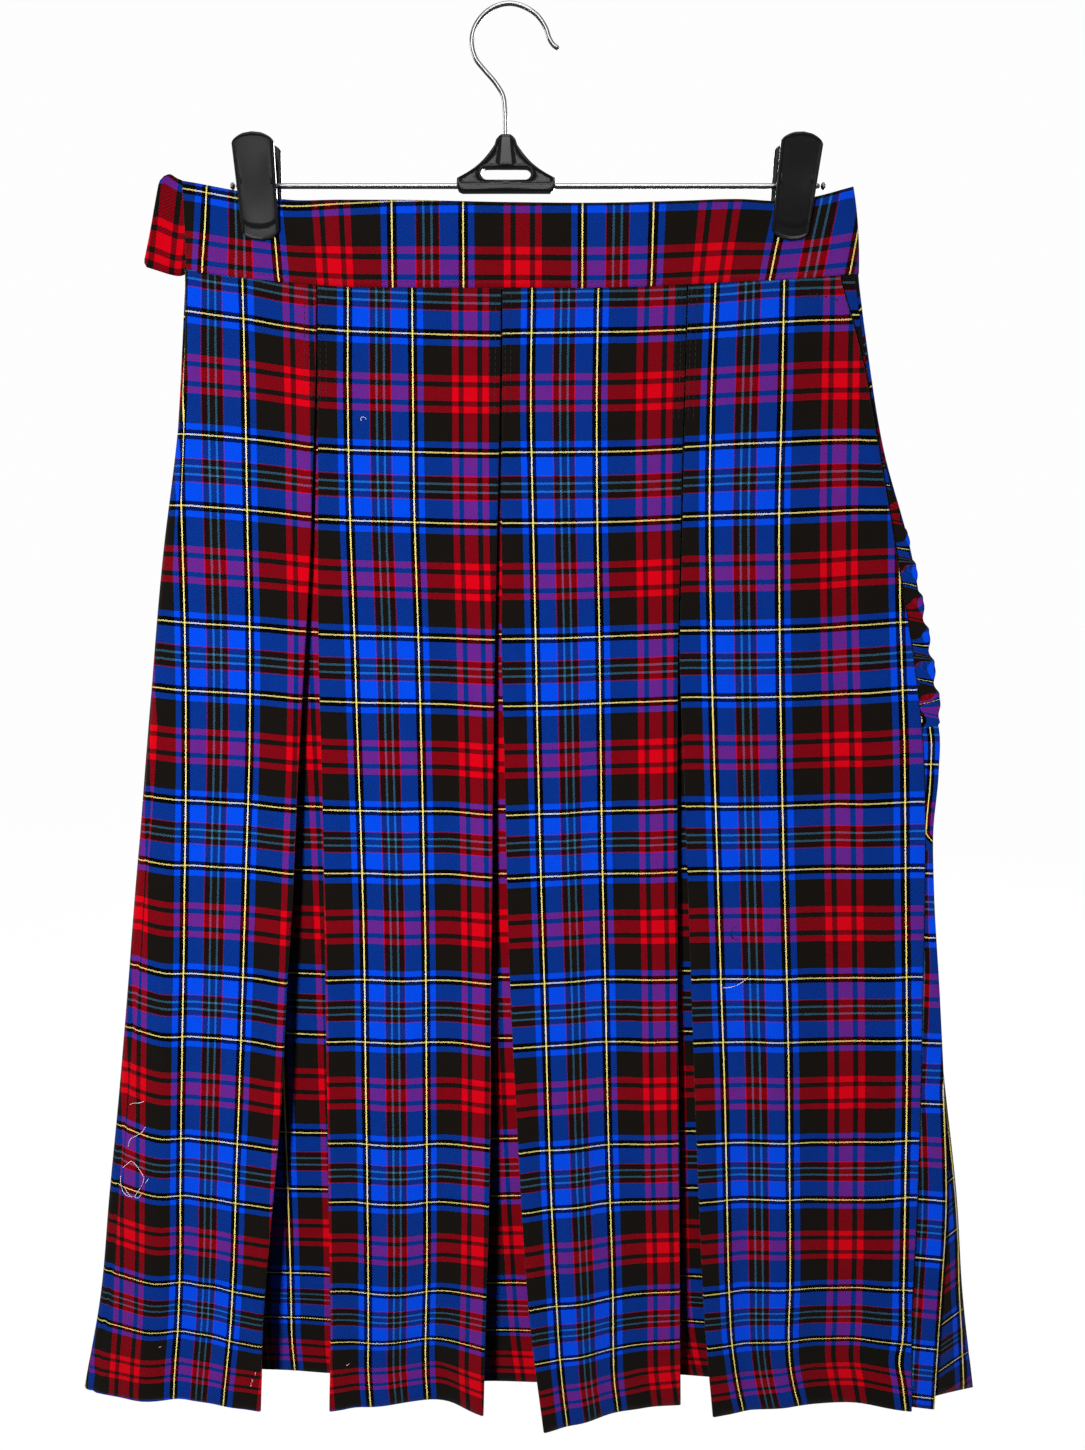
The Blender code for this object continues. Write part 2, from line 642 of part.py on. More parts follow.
def build_clip(side, mats, parts, cutters):
    """Two jaws that swing on the bar, and the spring between them."""
    place, lean = CLIPS[side]
    bore = cylinder_along_x(f"clip_{side}_bore", place - 30, place + 30, 0, BAR_Z,
                            BAR_RADIUS + SEAM_GAP, None, cutters)
    for which, facing, inset in (("front", -1, 0.0), ("rear", 1, EAR_THICK + 2 * SEAM_GAP)):
        name = f"clip_{side}_{which}"
        jaw = flat_outline(name, jaw_outline(), JAW_THICK, mats["plastic"], parts)
        lean_over(jaw, facing, place, lean)
        bevel(jaw, 0.9)
        ear_out = JAW_BOTTOM_WIDTH / 2 - 1.2 - inset
        for hand in (-1, 1):
            y_far = facing * 9.6
            y_near = -facing * 3.4
            ear = box(
                f"{name}_ear_{'left' if hand < 0 else 'right'}",
                (place + min(hand * ear_out, hand * (ear_out - EAR_THICK)), min(y_far, y_near),
                 BAR_Z - EAR_BELOW),
                (place + max(hand * ear_out, hand * (ear_out - EAR_THICK)), max(y_far, y_near),
                 BAR_Z + EAR_ABOVE),
                None, cutters,
            )
            boolean(jaw, ear, "UNION")
        boolean(jaw, bore, "DIFFERENCE")
    half = JAW_BOTTOM_WIDTH / 2 - 1.2 - 2 * EAR_THICK - 3 * SEAM_GAP
    spring = cylinder_along_x(f"clip_{side}_spring", place - half, place + half, 0, BAR_Z,
                              SPRING_RADIUS, mats["steel"], parts)
    boolean(spring, bore, "DIFFERENCE")


def build_hanger(mats, parts, cutters):
    wire("hook_wire", hook_path(), WIRE_RADIUS, mats["steel"], parts)
    build_block(mats["plastic"], parts, cutters)
    cylinder_along_x("hanger_bar", *BAR_ENDS, 0, BAR_Z, BAR_RADIUS, mats["steel"], parts, 14)
    for name, end, side in (("bar_cap_left", BAR_ENDS[0], -1), ("bar_cap_right", BAR_ENDS[1], 1)):
        cap = cylinder_along_x(name, end + side * SEAM_GAP, end + side * (SEAM_GAP + CAP_LENGTH), 0,
                               BAR_Z, CAP_RADIUS, mats["steel"], parts, 14)
        bevel(cap, 0.7)
    for side in CLIPS:
        build_clip(side, mats, parts, cutters)


def build_cloth(mats, parts):
    cloth = mats["cloth"]
    sheet("skirt_front", wall_points(front_section, -1), CLOTH_WALL, cloth, parts)
    sheet("skirt_back", wall_points(back_section, 1), CLOTH_WALL, cloth, parts)
    sheet("side_placket", placket_points(), CLOTH_WALL, cloth, parts)
    sheet("waistband_front", band_points(BAND_LEFT, BAND_RIGHT, -1, (True, True)), BAND_WALL,
          cloth, parts)
    back_left = BAND_LEFT + 6.0
    sheet("waistband_back", band_points(back_left, BAND_RIGHT, 1, (False, True)), BAND_WALL,
          cloth, parts)
    sheet("waistband_tab", tab_points(back_left - SEAM_GAP), BAND_WALL, cloth, parts)


def main():
    clear_scene()
    parts = new_collection("plaid_skirt_on_hanger")
    cutters = new_collection("cutters")
    mats = {
        "cloth": material("plaid_cloth", (0.10, 0.05, 0.22), 0.85),
        "plastic": material("black_plastic", (0.012, 0.012, 0.014), 0.28),
        "steel": material("bright_steel", (0.62, 0.62, 0.64), 0.25, 1.0),
    }
    build_cloth(mats, parts)
    build_hanger(mats, parts, cutters)


main()
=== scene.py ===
import math

import bpy
import numpy as np
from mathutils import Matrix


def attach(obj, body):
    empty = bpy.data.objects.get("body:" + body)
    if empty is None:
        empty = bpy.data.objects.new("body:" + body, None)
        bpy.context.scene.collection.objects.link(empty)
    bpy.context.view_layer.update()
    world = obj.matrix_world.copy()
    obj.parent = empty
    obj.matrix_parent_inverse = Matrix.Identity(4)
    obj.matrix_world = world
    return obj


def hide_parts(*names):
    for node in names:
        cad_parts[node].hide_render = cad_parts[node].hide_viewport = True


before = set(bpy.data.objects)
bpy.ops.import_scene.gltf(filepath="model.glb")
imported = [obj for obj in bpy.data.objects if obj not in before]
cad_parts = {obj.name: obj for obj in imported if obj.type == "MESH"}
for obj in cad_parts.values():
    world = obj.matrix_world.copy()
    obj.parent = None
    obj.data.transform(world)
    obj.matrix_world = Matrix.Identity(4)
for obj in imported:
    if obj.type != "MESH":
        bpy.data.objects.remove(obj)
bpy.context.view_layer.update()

mm = 0.001

# Plaid and its materials

# One half of the plaid's repeat, from the pale-blue centre to the red centre: yarn and width.
plaid = {
    "repeat": 106.8,          # mm, the same across and down
    "line": 19.9,             # mm from a pale-blue centre to the yellow line's middle
    "stripes": [
        ("black", 2.8), ("paleBlue", 1.8), ("maroon", 5.8), ("darkRed", 0.9), ("blue", 17.6),
        ("guard", 4.2), ("yellow", 1.3), ("guard", 3.9), ("blue", 5.9), ("black", 27.9),
        ("red", 6.2), ("black", 5.0), ("red", 6.9),
    ],
    # each yarn's colour, and how far it covers a yarn that it crosses
    "yarns": {
        "black": (0.108, 0.096, 0.085, 0.0), "blue": (0.0, 0.30, 0.93, 0.07),
        "red": (0.86, 0.0, 0.11, 0.0), "yellow": (1.0, 0.92, 0.50, 1.0),
        "guard": (0.0, 0.0, 0.0, 0.40), "paleBlue": (0.25, 0.52, 0.68, 0.0),
        "maroon": (0.16, 0.045, 0.06, 0.0), "darkRed": (0.72, 0.09, 0.34, 0.0),
    },
    "light": 0.50,            # how bright the yarns are as a whole
    "twillRib": 1.7,          # mm from one diagonal rib to the next
    "roughness": 0.9, "sheen": 0.035,
    # noises over the cloth: swells to a repeat, detail, roughness
    "fuzz": (330.0, 1.0, 0.5), "wander": (60.0, 2.0, 0.5), "grain": (190.0, 3.0, 0.75),
    # the next noise makes the cloth's tone darker and lighter at random
    "mottle": (7.0, 4.0, 0.62),
    "fuzzReach": 0.0036, "wanderReach": 0.012,     # how far they move stripes and ribs, in repeats
    "share": (0.36, 0.14, 0.28, 0.43),    # of the yarn down: even, and by rib, grain and cover
    "screen": 0.78, "linesOn": 0.7, "lineShine": (0.5, 0.55),
    "mottleTone": (0.20, 0.90), "grainTone": (1.10, 0.45), "bump": (0.3, 0.00018),
}


class NodeTree:
    # Short calls that build a node tree. A value is a number, a colour or a node's output.

    def __init__(self, owner):
        owner.use_nodes = True
        self.owner, self.nodes = owner, owner.node_tree.nodes
        self.links = owner.node_tree.links

    def feed(self, socket, value):
        if isinstance(value, tuple):
            socket.default_value = (*value, 1.0)
        elif isinstance(value, (int, float)):
            socket.default_value = value
        else:
            self.links.new(value, socket)

    def add(self, kind, output, **values):
        # one node with its sockets fed by name, a blank in a name written as _
        node = self.nodes.new("ShaderNode" + kind)
        for key, value in values.items():
            self.feed(node.inputs[key.replace("_", " ")], value)
        return node.outputs[output]

    def math(self, operation, *values, clamp=False):
        node = self.nodes.new("ShaderNodeMath")
        node.operation, node.use_clamp = operation, clamp
        for socket, value in zip(node.inputs, values):
            self.feed(socket, value)
        return node.outputs[0]

    def swayed(self, value, by, start):
        return self.math("MULTIPLY_ADD", value, by, start)

    def noise(self, place, scale, detail=2.0, roughness=0.5):
        return self.add("TexNoise", "Fac", Vector=place, Scale=scale, Detail=detail,
                        Roughness=roughness)

    def mix(self, factor, first, second, blend="MIX"):
        node = self.nodes.new("ShaderNodeMix")
        node.data_type, node.blend_type = "RGBA", blend
        for slot, value in ((0, factor), (6, first), (7, second)):
            self.feed(node.inputs[slot], value)
        return node.outputs[2]

    def bump(self, height, strength, distance):
        return self.add("Bump", "Normal", Height=height, Strength=strength, Distance=distance)

    def finish(self, **values):
        shader = self.nodes["Principled BSDF"]
        for key, value in values.items():
            self.feed(shader.inputs[key.replace("_", " ")], value)
        return self.owner


def newPaint(name):
    return NodeTree(bpy.data.materials.new(name))


def shade(colour, by, more=0.0):
    return tuple(by * c + more for c in colour)


def stripeRamp(tree, place):
    # The stripes as plain steps along half a repeat; a step's alpha is its yarn's cover.
    ramp = tree.nodes.new("ShaderNodeValToRGB")
    steps = ramp.color_ramp
    steps.interpolation = "CONSTANT"
    total = sum(width for _, width in plaid["stripes"])
    run = 0.0
    for k, (yarn, width) in enumerate(plaid["stripes"]):
        step = steps.elements.new(run / total) if k else steps.elements[0]
        step.position, step.color = run / total, plaid["yarns"][yarn]
        run += width
    steps.elements.remove(steps.elements[-1])
    tree.feed(ramp.inputs[0], place)
    return ramp.outputs


def makePlaidCloth():
    # Two sets of stripes, one across and one down, are folded about their centres, so each ramp
    # holds half a repeat. Where two yarns cross, each shows for half, more for one that covers the
    # other; the twill's diagonal rib and a fine grain sway the share.
    tree = newPaint("plaidTwill")
    uvMap = tree.nodes.new("ShaderNodeUVMap")
    uvMap.uv_map = "cloth"
    place = uvMap.outputs[0]
    split = tree.nodes.new("ShaderNodeSeparateXYZ")
    tree.feed(split.inputs[0], place)
    fuzz, wander, grain, mottle = (tree.noise(place, *plaid[name])
                                 for name in ("fuzz", "wander", "grain", "mottle"))
    fuzz = tree.swayed(fuzz, plaid["fuzzReach"], -plaid["fuzzReach"] / 2)
    across, down = (stripeRamp(tree, tree.math("MULTIPLY", tree.math(
        "PINGPONG", tree.math("ADD", split.outputs[axis], fuzz), 0.5), 2.0)) for axis in (0, 1))
    along = tree.math("ADD", split.outputs[0], split.outputs[1])
    along = tree.swayed(wander, plaid["wanderReach"], along)
    ribs = plaid["repeat"] / plaid["twillRib"] * 2 * math.pi
    rib = tree.math("SINE", tree.math("MULTIPLY", along, ribs))
    even, byRib, byGrain, byCover = plaid["share"]
    share = tree.swayed(grain, byGrain, tree.swayed(rib, byRib, even))
    cover = tree.math("SUBTRACT", down[1], across[1])
    share = tree.math("MULTIPLY_ADD", cover, byCover, share, clamp=True)
    woven = tree.mix(share, across[0], down[0])
    # a pale line lets the crossing colour shine through: both lights added as on a screen
    bright = tree.mix(plaid["screen"], across[0], down[0], "SCREEN")
    onLine = tree.math("GREATER_THAN", tree.math("MAXIMUM", across[1], down[1]), plaid["linesOn"])
    onLine = tree.math("MULTIPLY", onLine, tree.swayed(grain, *plaid["lineShine"]))
    colour = tree.add("Gamma", 0, Color=tree.mix(onLine, woven, bright), Gamma=2.2)
    # the cloth darker and lighter at random over a palm's width, and the yarn's own grain
    tone = tree.math("MULTIPLY", tree.swayed(mottle, *plaid["mottleTone"]),
                     tree.swayed(grain, *plaid["grainTone"]))
    tone = tree.math("MULTIPLY", tone, plaid["light"])
    grey = tree.add("CombineColor", 0, Red=tone, Green=tone, Blue=tone)
    return tree.finish(Base_Color=tree.mix(1.0, colour, grey, "MULTIPLY"),
                       Normal=tree.bump(tree.swayed(grain, 0.9, rib), *plaid["bump"]),
                       Roughness=plaid["roughness"], Sheen_Weight=plaid["sheen"],
                       Sheen_Roughness=0.5, Specular_IOR_Level=0.09)


def makeThread(name, colour):
    # twisted yarn: a fine noise mixes the colour with a darker one and raises the surface
    tree = newPaint(name)
    twist = tree.noise(tree.add("TexCoord", "Object"), 2600.0)
    return tree.finish(Base_Color=tree.mix(twist, shade(colour, 0.72), colour), Roughness=0.6,
                       Normal=tree.bump(twist, 0.4, 0.0001), Specular_IOR_Level=0.35)


def makePlastic(name, colour, roughness):
    # moulded plastic: a faint ripple of the mould, its gloss cloudy and lightly dusty
    tree = newPaint(name)
    place = tree.add("TexCoord", "Object")
    peel, cloud = tree.noise(place, 260.0, 3.0), tree.noise(place, 70.0)
    dust = tree.noise(place, 900.0, 4.0, 0.7)
    gloss = tree.swayed(cloud, 0.10, roughness - 0.05)
    return tree.finish(Base_Color=tree.mix(dust, colour, shade(colour, 1.5, 0.002)),
                       Roughness=tree.swayed(dust, 0.06, gloss),
                       Normal=tree.bump(peel, 0.10, 0.0002), Specular_IOR_Level=0.5)


def makeSteel(name, colour, roughness):
    # drawn wire: fine lines along it, a little uneven in tone, and painted shade: its colour darkened
    # where it turns away from the view
    tree = newPaint(name)
    place = tree.add("TexCoord", "Object")
    cloud, fine = tree.noise(place, 120.0, 3.0), tree.noise(place, 2400.0)
    tone = tree.mix(cloud, shade(colour, 0.86), colour)
    # painted shade: towards the outline as seen, the base colour is mixed towards a tenth of itself
    away = tree.math("MULTIPLY_ADD", tree.add("LayerWeight", "Facing", Blend=0.5), 2.6, -0.75,
                     clamp=True)
    return tree.finish(Base_Color=tree.mix(away, tone, shade(colour, 0.10)), Metallic=1.0,
                       Roughness=tree.swayed(fine, 0.08, roughness - 0.04),
                       Normal=tree.bump(fine, 0.03, 0.0001))


materials = {
    "plaid": makePlaidCloth(),
    "darkThread": makeThread("darkThread", (0.012, 0.012, 0.02)),
    "paleThread": makeThread("paleThread", (0.62, 0.50, 0.52)),
    "plastic": makePlastic("blackPlastic", (0.0024, 0.0024, 0.0028), 0.20),
    "steel": makeSteel("platedSteel", (0.74, 0.74, 0.76), 0.26),
}
print("materials made")

# Curves and meshes


def smoothCurve(xs, ys, at):
    # a smooth curve through points: on each span a cubic whose slopes are those of its neighbours
    xs, ys = np.asarray(xs, float), np.asarray(ys, float)
    slopes = np.gradient(ys, xs, axis=0)
    at = np.clip(np.asarray(at, float), xs[0], xs[-1])
    i = np.clip(np.searchsorted(xs, at, side="right") - 1, 0, len(xs) - 2)
    width = xs[i + 1] - xs[i]
    t = (at - xs[i]) / width
    if ys.ndim > 1:
        t, width = t[..., None], width[..., None]
    return (ys[i] * (1 + 2 * t) * (1 - t) ** 2 + ys[i + 1] * t * t * (3 - 2 * t)
            + width * (slopes[i] * t * (1 - t) ** 2 - slopes[i + 1] * t * t * (1 - t)))


def readRows(rows, at):
    # a table whose first column is the place: its other columns, read by a smooth curve
    table = np.array(rows, float)
    return smoothCurve(table[:, 0], table[:, 1:], at)


def splineThrough(points, count):
    # points spread evenly along the smooth curve through a few of them
    points = np.array(points, float)
    along = np.concatenate([[0], np.cumsum(np.linalg.norm(np.diff(points, axis=0), axis=1))])
    return smoothCurve(along, points, np.linspace(0, along[-1], count))


def easeIn(t):
    # 0 up to t = 0, 1 from t = 1, smooth between
    t = np.clip(t, 0, 1)
    return t * t * (3 - 2 * t)


def roundOff(distance, radius, least=0.0):
    # a quarter circle's height: the root of least at an edge, 1 from one radius on
    return np.sqrt(np.clip(1 - (1 - np.clip(distance / radius, 0, 1)) ** 2, least, 1))


def addMesh(name, points, faces, material):
    # Points are in millimetres.
    mesh = bpy.data.meshes.new(name)
    mesh.from_pydata((points.reshape(-1, 3) * mm).tolist(), [], faces)
    mesh.materials.append(material)
    mesh.shade_smooth()
    piece = bpy.data.objects.new(name, mesh)
    bpy.context.scene.collection.objects.link(piece)
    return piece


def gridMesh(name, points, material, uv=None, wall=0.0, loopColumns=False, loopRows=False,
             closeEnds=False, flip=False):
    # A surface through a grid of points, (rows, columns, 3); uv is (rows, columns, 2).
    rows, columns = points.shape[:2]
    rr, cc = np.meshgrid(np.arange(rows if loopRows else rows - 1),
                         np.arange(columns if loopColumns else columns - 1), indexing="ij")
    nextR, nextC = (rr + 1) % rows, (cc + 1) % columns
    quads = np.stack([rr * columns + cc, rr * columns + nextC, nextR * columns + nextC,
                      nextR * columns + cc], -1).reshape(-1, 4)
    faces = quads.tolist()
    if closeEnds:
        faces += [list(range(columns))[::-1], list(range((rows - 1) * columns, rows * columns))]
    if flip:
        faces = [face[::-1] for face in faces]
    piece = addMesh(name, points, faces, material)
    if uv is not None:
        layer = piece.data.uv_layers.new(name="cloth")
        corner = np.array([v for face in faces for v in face])
        layer.data.foreach_set("uv", uv.reshape(-1, 2)[corner].astype(np.float32).ravel())
    if wall:
        shell = piece.modifiers.new("wall", "SOLIDIFY")
        shell.thickness = wall * mm
        shell.offset = 0
        shell.use_even_offset = False
    return piece


def finishPiece(piece, slotName, *replaced):
    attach(piece, "root")
    if replaced:
        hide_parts(*replaced)
    return piece


def tube(name, path, radius, material, sides=16):
    # A round rod carried along a path: rings of `sides` points square to the path, its radius
    # falling to almost nothing as a quarter circle at both ends.
    path = np.asarray(path, float)
    ahead = (path[1] - path[0]) / np.linalg.norm(path[1] - path[0])
    behind = (path[-1] - path[-2]) / np.linalg.norm(path[-1] - path[-2])
    turn = np.linspace(0.96, 0.08, 6) * math.pi / 2
    inwards = (radius * (1 - np.sin(turn)))[:, None]
    head, tail = path[0] + ahead * inwards, (path[-1] - behind * inwards)[::-1]
    keep = np.linalg.norm(path - path[0], axis=1) > radius
    keep &= np.linalg.norm(path - path[-1], axis=1) > radius
    path = np.concatenate([head, path[keep], tail])
    size = np.concatenate([radius * np.cos(turn), np.full(keep.sum(), radius),
                           radius * np.cos(turn[::-1])])
    way = np.gradient(path, axis=0)
    way /= np.linalg.norm(way, axis=1)[:, None]
    side = np.cross(way, (0, 1, 0))
    flat = np.linalg.norm(side, axis=1) < 0.2
    side[flat] = np.cross(way[flat], (0, 0, 1))
    side /= np.linalg.norm(side, axis=1)[:, None]
    up = np.cross(side, way)
    a = np.linspace(0, 2 * math.pi, sides, endpoint=False)
    ring = (side[:, None] * np.cos(a)[None, :, None] + up[:, None] * np.sin(a)[None, :, None])
    return gridMesh(name, path[:, None] + ring * size[:, None, None], material, loopColumns=True,
                    closeEnds=True)


# The skirt's walls

skirt = {
    "wall": 0.75,             # cloth thickness
    "foldRadius": 0.82,       # of a pressed pleat fold
    "seamZ": -150.4,
    "waistJoin": 0.6,
    "drop": 703.0,            # waist seam to hem
    "topLift": 5.0,           # how far the pressed cloth stands off the middle at the waist
    "liftPower": 1.25,        # how the lifts grow from waist to hem
    "pleatDepth": 47.0,
    "turnUp": 24.0,           # the hem allowance turned up inside
    "turnUpGap": 0.8,
    "hemFold": 1.5,           # cloth taken up by the hem's fold
    "seamLift": 0.15,         # of the left side's seam off the middle
    "rawEdge": 1.6,           # how far the raw edge runs up inside the waistband
    "rows": 132,
}

# How the waist rises towards the clips: across, its seam, its top edge
waistRise = [
    (-190, 9.6, 12.4), (-154, 5.3, 6.0), (-126, 2.7, 1.4), (-97, 0.5, 1.3), (-60, 0.0, 1.2),
    (0, 0.0, 0.0), (60, 0.0, -0.2), (98, 1.6, 0.8), (130, 3.2, 1.7), (156, 4.3, 0.9),
    (174, 5.6, 3.2), (202, 8.0, 9.0),
]

# The front at each height: drop, then across at each fold line, left to right
frontFolds = {
    "columns": ["sideLeft", "p1Right", "p2Left", "p2Right", "p3Left", "p3Right", "p4Left",
                "p4Right", "strip", "sideRight"],
    "rows": [
        (0, -186.5, -111.2, -110.6, -5.5, -4.9, 100.8, 101.4, 187.8, 184.0, 199.6),
        (45, -189.3, -112.9, -111.8, -6.3, -5.3, 100.3, 100.9, 202.4, 198.5, 207.6),
        (95, -196.6, -115.7, -113.0, -7.4, -5.7, 99.8, 100.4, 214.0, 210.0, 218.6),
        (155, -207.3, -119.2, -114.6, -9.0, -6.0, 99.5, 100.1, 227.0, 223.0, 238.0),
        (215, -216.0, -124.2, -115.8, -10.4, -6.2, 99.2, 99.9, 239.5, 236.5, 250.4),
        (256, -221.2, -127.6, -115.7, -11.2, -5.3, 99.7, 102.0, 246.2, 257.3, 255.0),
        (285, -224.9, -130.0, -115.6, -11.8, -4.6, 100.0, 103.5, 249.2, 258.8, 257.0),
        (320, -230.0, -132.4, -115.8, -12.3, -4.0, 100.6, 105.3, 251.2, 257.1, 256.0),
        (355, -235.0, -134.9, -116.0, -12.7, -3.4, 101.2, 107.0, 252.5, 259.0, 256.6),
        (425, -244.2, -141.0, -116.9, -13.9, -1.4, 102.5, 110.4, 254.2, 265.8, 266.0),
        (495, -253.8, -146.2, -117.5, -14.4, 1.9, 104.4, 113.8, 255.8, 271.9, 276.8),
        (565, -264.2, -154.0, -118.3, -15.8, 5.4, 105.8, 117.4, 256.6, 276.2, 287.6),
        (635, -274.0, -161.6, -118.8, -18.2, 10.4, 107.3, 121.7, 256.2, 275.4, 295.4),
        (703, -288.8, -165.6, -121.0, -20.2, 18.6, 108.8, 128.2, 258.8, 274.2, 306.0),
    ],
    # forward of the middle at the hem: left fold, one third, two thirds, right fold
    "hemLifts": {"p1": (6, 15, 17, 26), "p2": (26, 21, 14, 30), "p3": (45, 35, 23, 20),
                 "p4": (31, 22, 18, 26)},
    "underlays": [(-16.0, -9.0), (-3.0, -2.0), (-12.0, -5.0)],
    "stripLift": 24.0, "stripInnerLift": 15.5, "outerLifts": (16.0, 9.0, 3.0),
    "stripDepth": 26.0, "stripReturn": 8.0, "stripStretch": 1.25, "outerTilt": 0.52,
}

# Where the yellow lines run down each panel: drop, then across at each line
panelLines = {
    "p1": [(0, -188.0, -153.4), (60, -192.1, -154.1), (130, -194.1, -155.5), (200, -195.3, -156.6),
           (270, -197.9, -159.4), (340, -202.2, -163.9), (410, -206.2, -168.2),
           (480, -210.3, -172.8), (550, -214.2, -177.6), (620, -218.0, -182.0),
           (655, -220.8, -185.2), (676, -223.2, -187.9), (703, -225.4, -191.4)],
    "p2": [(0, -93.0, -56.7), (60, -94.5, -57.2), (130, -94.7, -57.4), (200, -93.8, -56.3),
           (270, -93.2, -55.5), (340, -92.4, -55.1), (410, -92.3, -55.0), (480, -93.0, -55.6),
           (550, -93.4, -56.3), (620, -94.2, -57.5), (655, -94.9, -58.7), (676, -95.4, -59.2),
           (703, -94.2, -58.2)],
    "p3": [(0, 12.2, 49.7), (60, 11.4, 49.2), (130, 12.6, 50.0), (200, 14.1, 51.7),
           (270, 15.4, 53.0), (340, 17.0, 54.5), (410, 19.2, 56.6), (480, 21.2, 58.4),
           (550, 23.6, 60.5), (620, 27.0, 62.9), (655, 29.0, 63.4), (676, 30.8, 63.9),
           (703, 34.0, 67.0)],
    "p4": [(0, 116.9, 155.8, 222.0), (60, 115.8, 156.5, 224.0), (130, 116.1, 156.8, 227.0),
           (200, 118.4, 159.1, 231.3), (270, 121.4, 162.1, 236.6), (340, 124.9, 165.4, 240.2),
           (410, 128.4, 169.2, 243.8), (480, 132.0, 172.6, 247.0), (550, 135.0, 175.2, 248.7),
           (620, 137.8, 177.4, 250.3), (655, 140.3, 177.4, 251.0), (669, 142.3, 178.3, 249.6),
           (683, 144.6, 180.6, 252.0), (703, 149.0, 185.6, 254.9)],
}

# How far the pattern sits above where the drop alone would put it: drop, then at five places
# from each panel's left fold to its right
risePlaces = (0.03, 0.22, 0.5, 0.75, 0.97)
patternRise = {
    "p1": [(0, 4.6, 3.9, 3.3, 1.2, 0.3), (90, 3.5, 3.9, 4.0, 3.3, 1.9), (197, 4.1, 2.8, 2.7, 2.5, 1.6),
           (304, 5.0, 3.2, 2.7, 2.3, 1.0), (344, 5.2, 2.8, 2.5, 2.1, 0.6),
           (412, 4.8, 1.1, 0.6, 0.1, -1.9), (452, 3.8, 0.4, -0.4, -0.7, -3.1),
           (520, 4.6, 0.0, -1.6, -2.2, -4.0), (560, 4.9, 1.2, -0.6, -2.2, -3.5),
           (621, 10.3, 7.6, 5.7, 4.5, 2.5), (656, 14.2, 12.4, 11.7, 10.2, 7.6),
           (683, 17.0, 17.0, 17.6, 16.2, 15.7), (703, 24.8, 25.0, 25.6, 24.2, 24.2)],
    "p2": [(0, 1.7, 1.3, 0.4, -0.4, -0.9), (90, 1.5, 1.3, 0.7, 0.1, -0.4),
           (197, 0.4, 0.3, -0.5, -1.4, -2.0), (304, 0.8, 0.5, -0.2, -0.6, -1.4),
           (344, 1.4, 1.5, 0.1, -0.1, -0.3), (412, 0.2, 0.3, -1.4, -1.5, -1.0),
           (452, 0.4, -0.3, -2.1, -2.2, -1.4), (520, 0.2, -1.5, -4.3, -3.6, -1.5),
           (560, 0.8, -1.5, -4.4, -3.2, -0.2), (621, 6.8, 3.4, -0.8, 1.2, 5.1),
           (657, 11.5, 8.2, 5.6, 6.2, 9.2), (683, 16.6, 16.2, 15.0, 14.7, 16.0),
           (703, 25.0, 24.5, 24.0, 23.5, 24.0)],
    "p3": [(0, 0.4, 0.9, 1.6, 1.2, 1.0), (90, 0.3, 0.4, 0.8, 0.8, 1.1),
           (197, -1.2, -1.0, -0.3, 0.3, 0.6), (304, -0.4, 0.0, 0.4, 0.7, 0.9),
           (344, 0.8, 1.4, 1.3, 1.4, 1.4), (412, 1.2, 1.3, 0.8, 0.2, -0.5),
           (452, 1.3, 1.3, 0.5, -0.3, -1.0), (520, 0.7, 0.4, -0.7, -1.4, -1.9),
           (560, 1.7, 1.6, 0.1, -0.5, -0.7), (621, 4.5, 3.2, 1.4, 2.3, 2.8),
           (658, 8.8, 7.5, 7.0, 7.2, 8.1), (683, 16.0, 15.6, 15.1, 15.5, 17.1),
           (703, 22.0, 22.0, 21.5, 22.0, 23.0)],
    "p4": [(0, 1.3, 1.3, 2.6, 2.6, 1.6), (90, 2.1, 2.5, 2.8, 2.4, 1.0), (197, 2.5, 1.8, 1.5, 1.8, 4.2),
           (304, 3.3, 2.3, 1.9, 1.8, 3.8), (344, 3.2, 2.5, 2.0, 1.7, 3.1),
           (412, 1.5, 0.5, -0.5, -0.9, 1.4), (452, 0.7, 0.0, -1.8, -1.8, 0.5),
           (520, 1.3, 0.1, -2.0, -2.5, 1.7), (560, 2.6, 2.0, -0.3, -1.6, 4.0),
           (621, 6.9, 6.7, 4.9, 4.3, 7.2), (657, 10.4, 9.8, 9.0, 8.2, 9.6),
           (683, 14.8, 14.0, 17.0, 16.6, 16.2), (703, 21.0, 21.0, 23.0, 23.0, 22.0)],
}
# the same for the three underlays
underlayRise = [
    (0, 1.0, 0.0, 0.0), (300, -1.0, -1.0, -0.4), (350, -2.3, -2.5, -0.5), (455, -4.8, -4.4, -1.6),
    (525, -7.0, -7.0, -4.2), (565, -7.5, -7.7, -4.7), (626, -3.4, -4.4, -3.0),
    (660, 2.5, -0.8, 3.0), (683, 10.7, 9.0, 11.8), (703, 16.6, 15.0, 17.8),
]
# The two side pleats: drop, how far the strip's fold lies right of a pale-blue centre, the rise
# of the strip's pattern and of the outer pleat's, and how far the outer line is from the edge
sidePattern = [
    (0, 26.0, -40.0, -39.0, -6.0), (260, 25.5, -40.7, -39.0, -6.0), (327, 24.0, -41.1, -39.0, -1.0),
    (328, 9.0, -41.0, -39.0, -1.0), (405, 11.5, -41.7, -39.0, 1.0), (455, 16.6, -42.4, -39.0, 1.0),
    (485, 19.9, -42.7, -39.0, 1.0), (557, 19.5, -40.1, -37.4, 0.9), (600, 19.5, -40.2, -34.8, 0.9),
    (658, 19.5, -35.8, -29.6, 3.2), (692, 19.5, -30.3, -21.5, 5.8), (703, 19.5, -28.0, -18.5, 6.8),
]
# The plaid's pale-blue centre nearest the waist, and how far behind each underlay's pattern runs
patternStart = 5.0
underlayShift = [118.2, 118.4, 109.0]

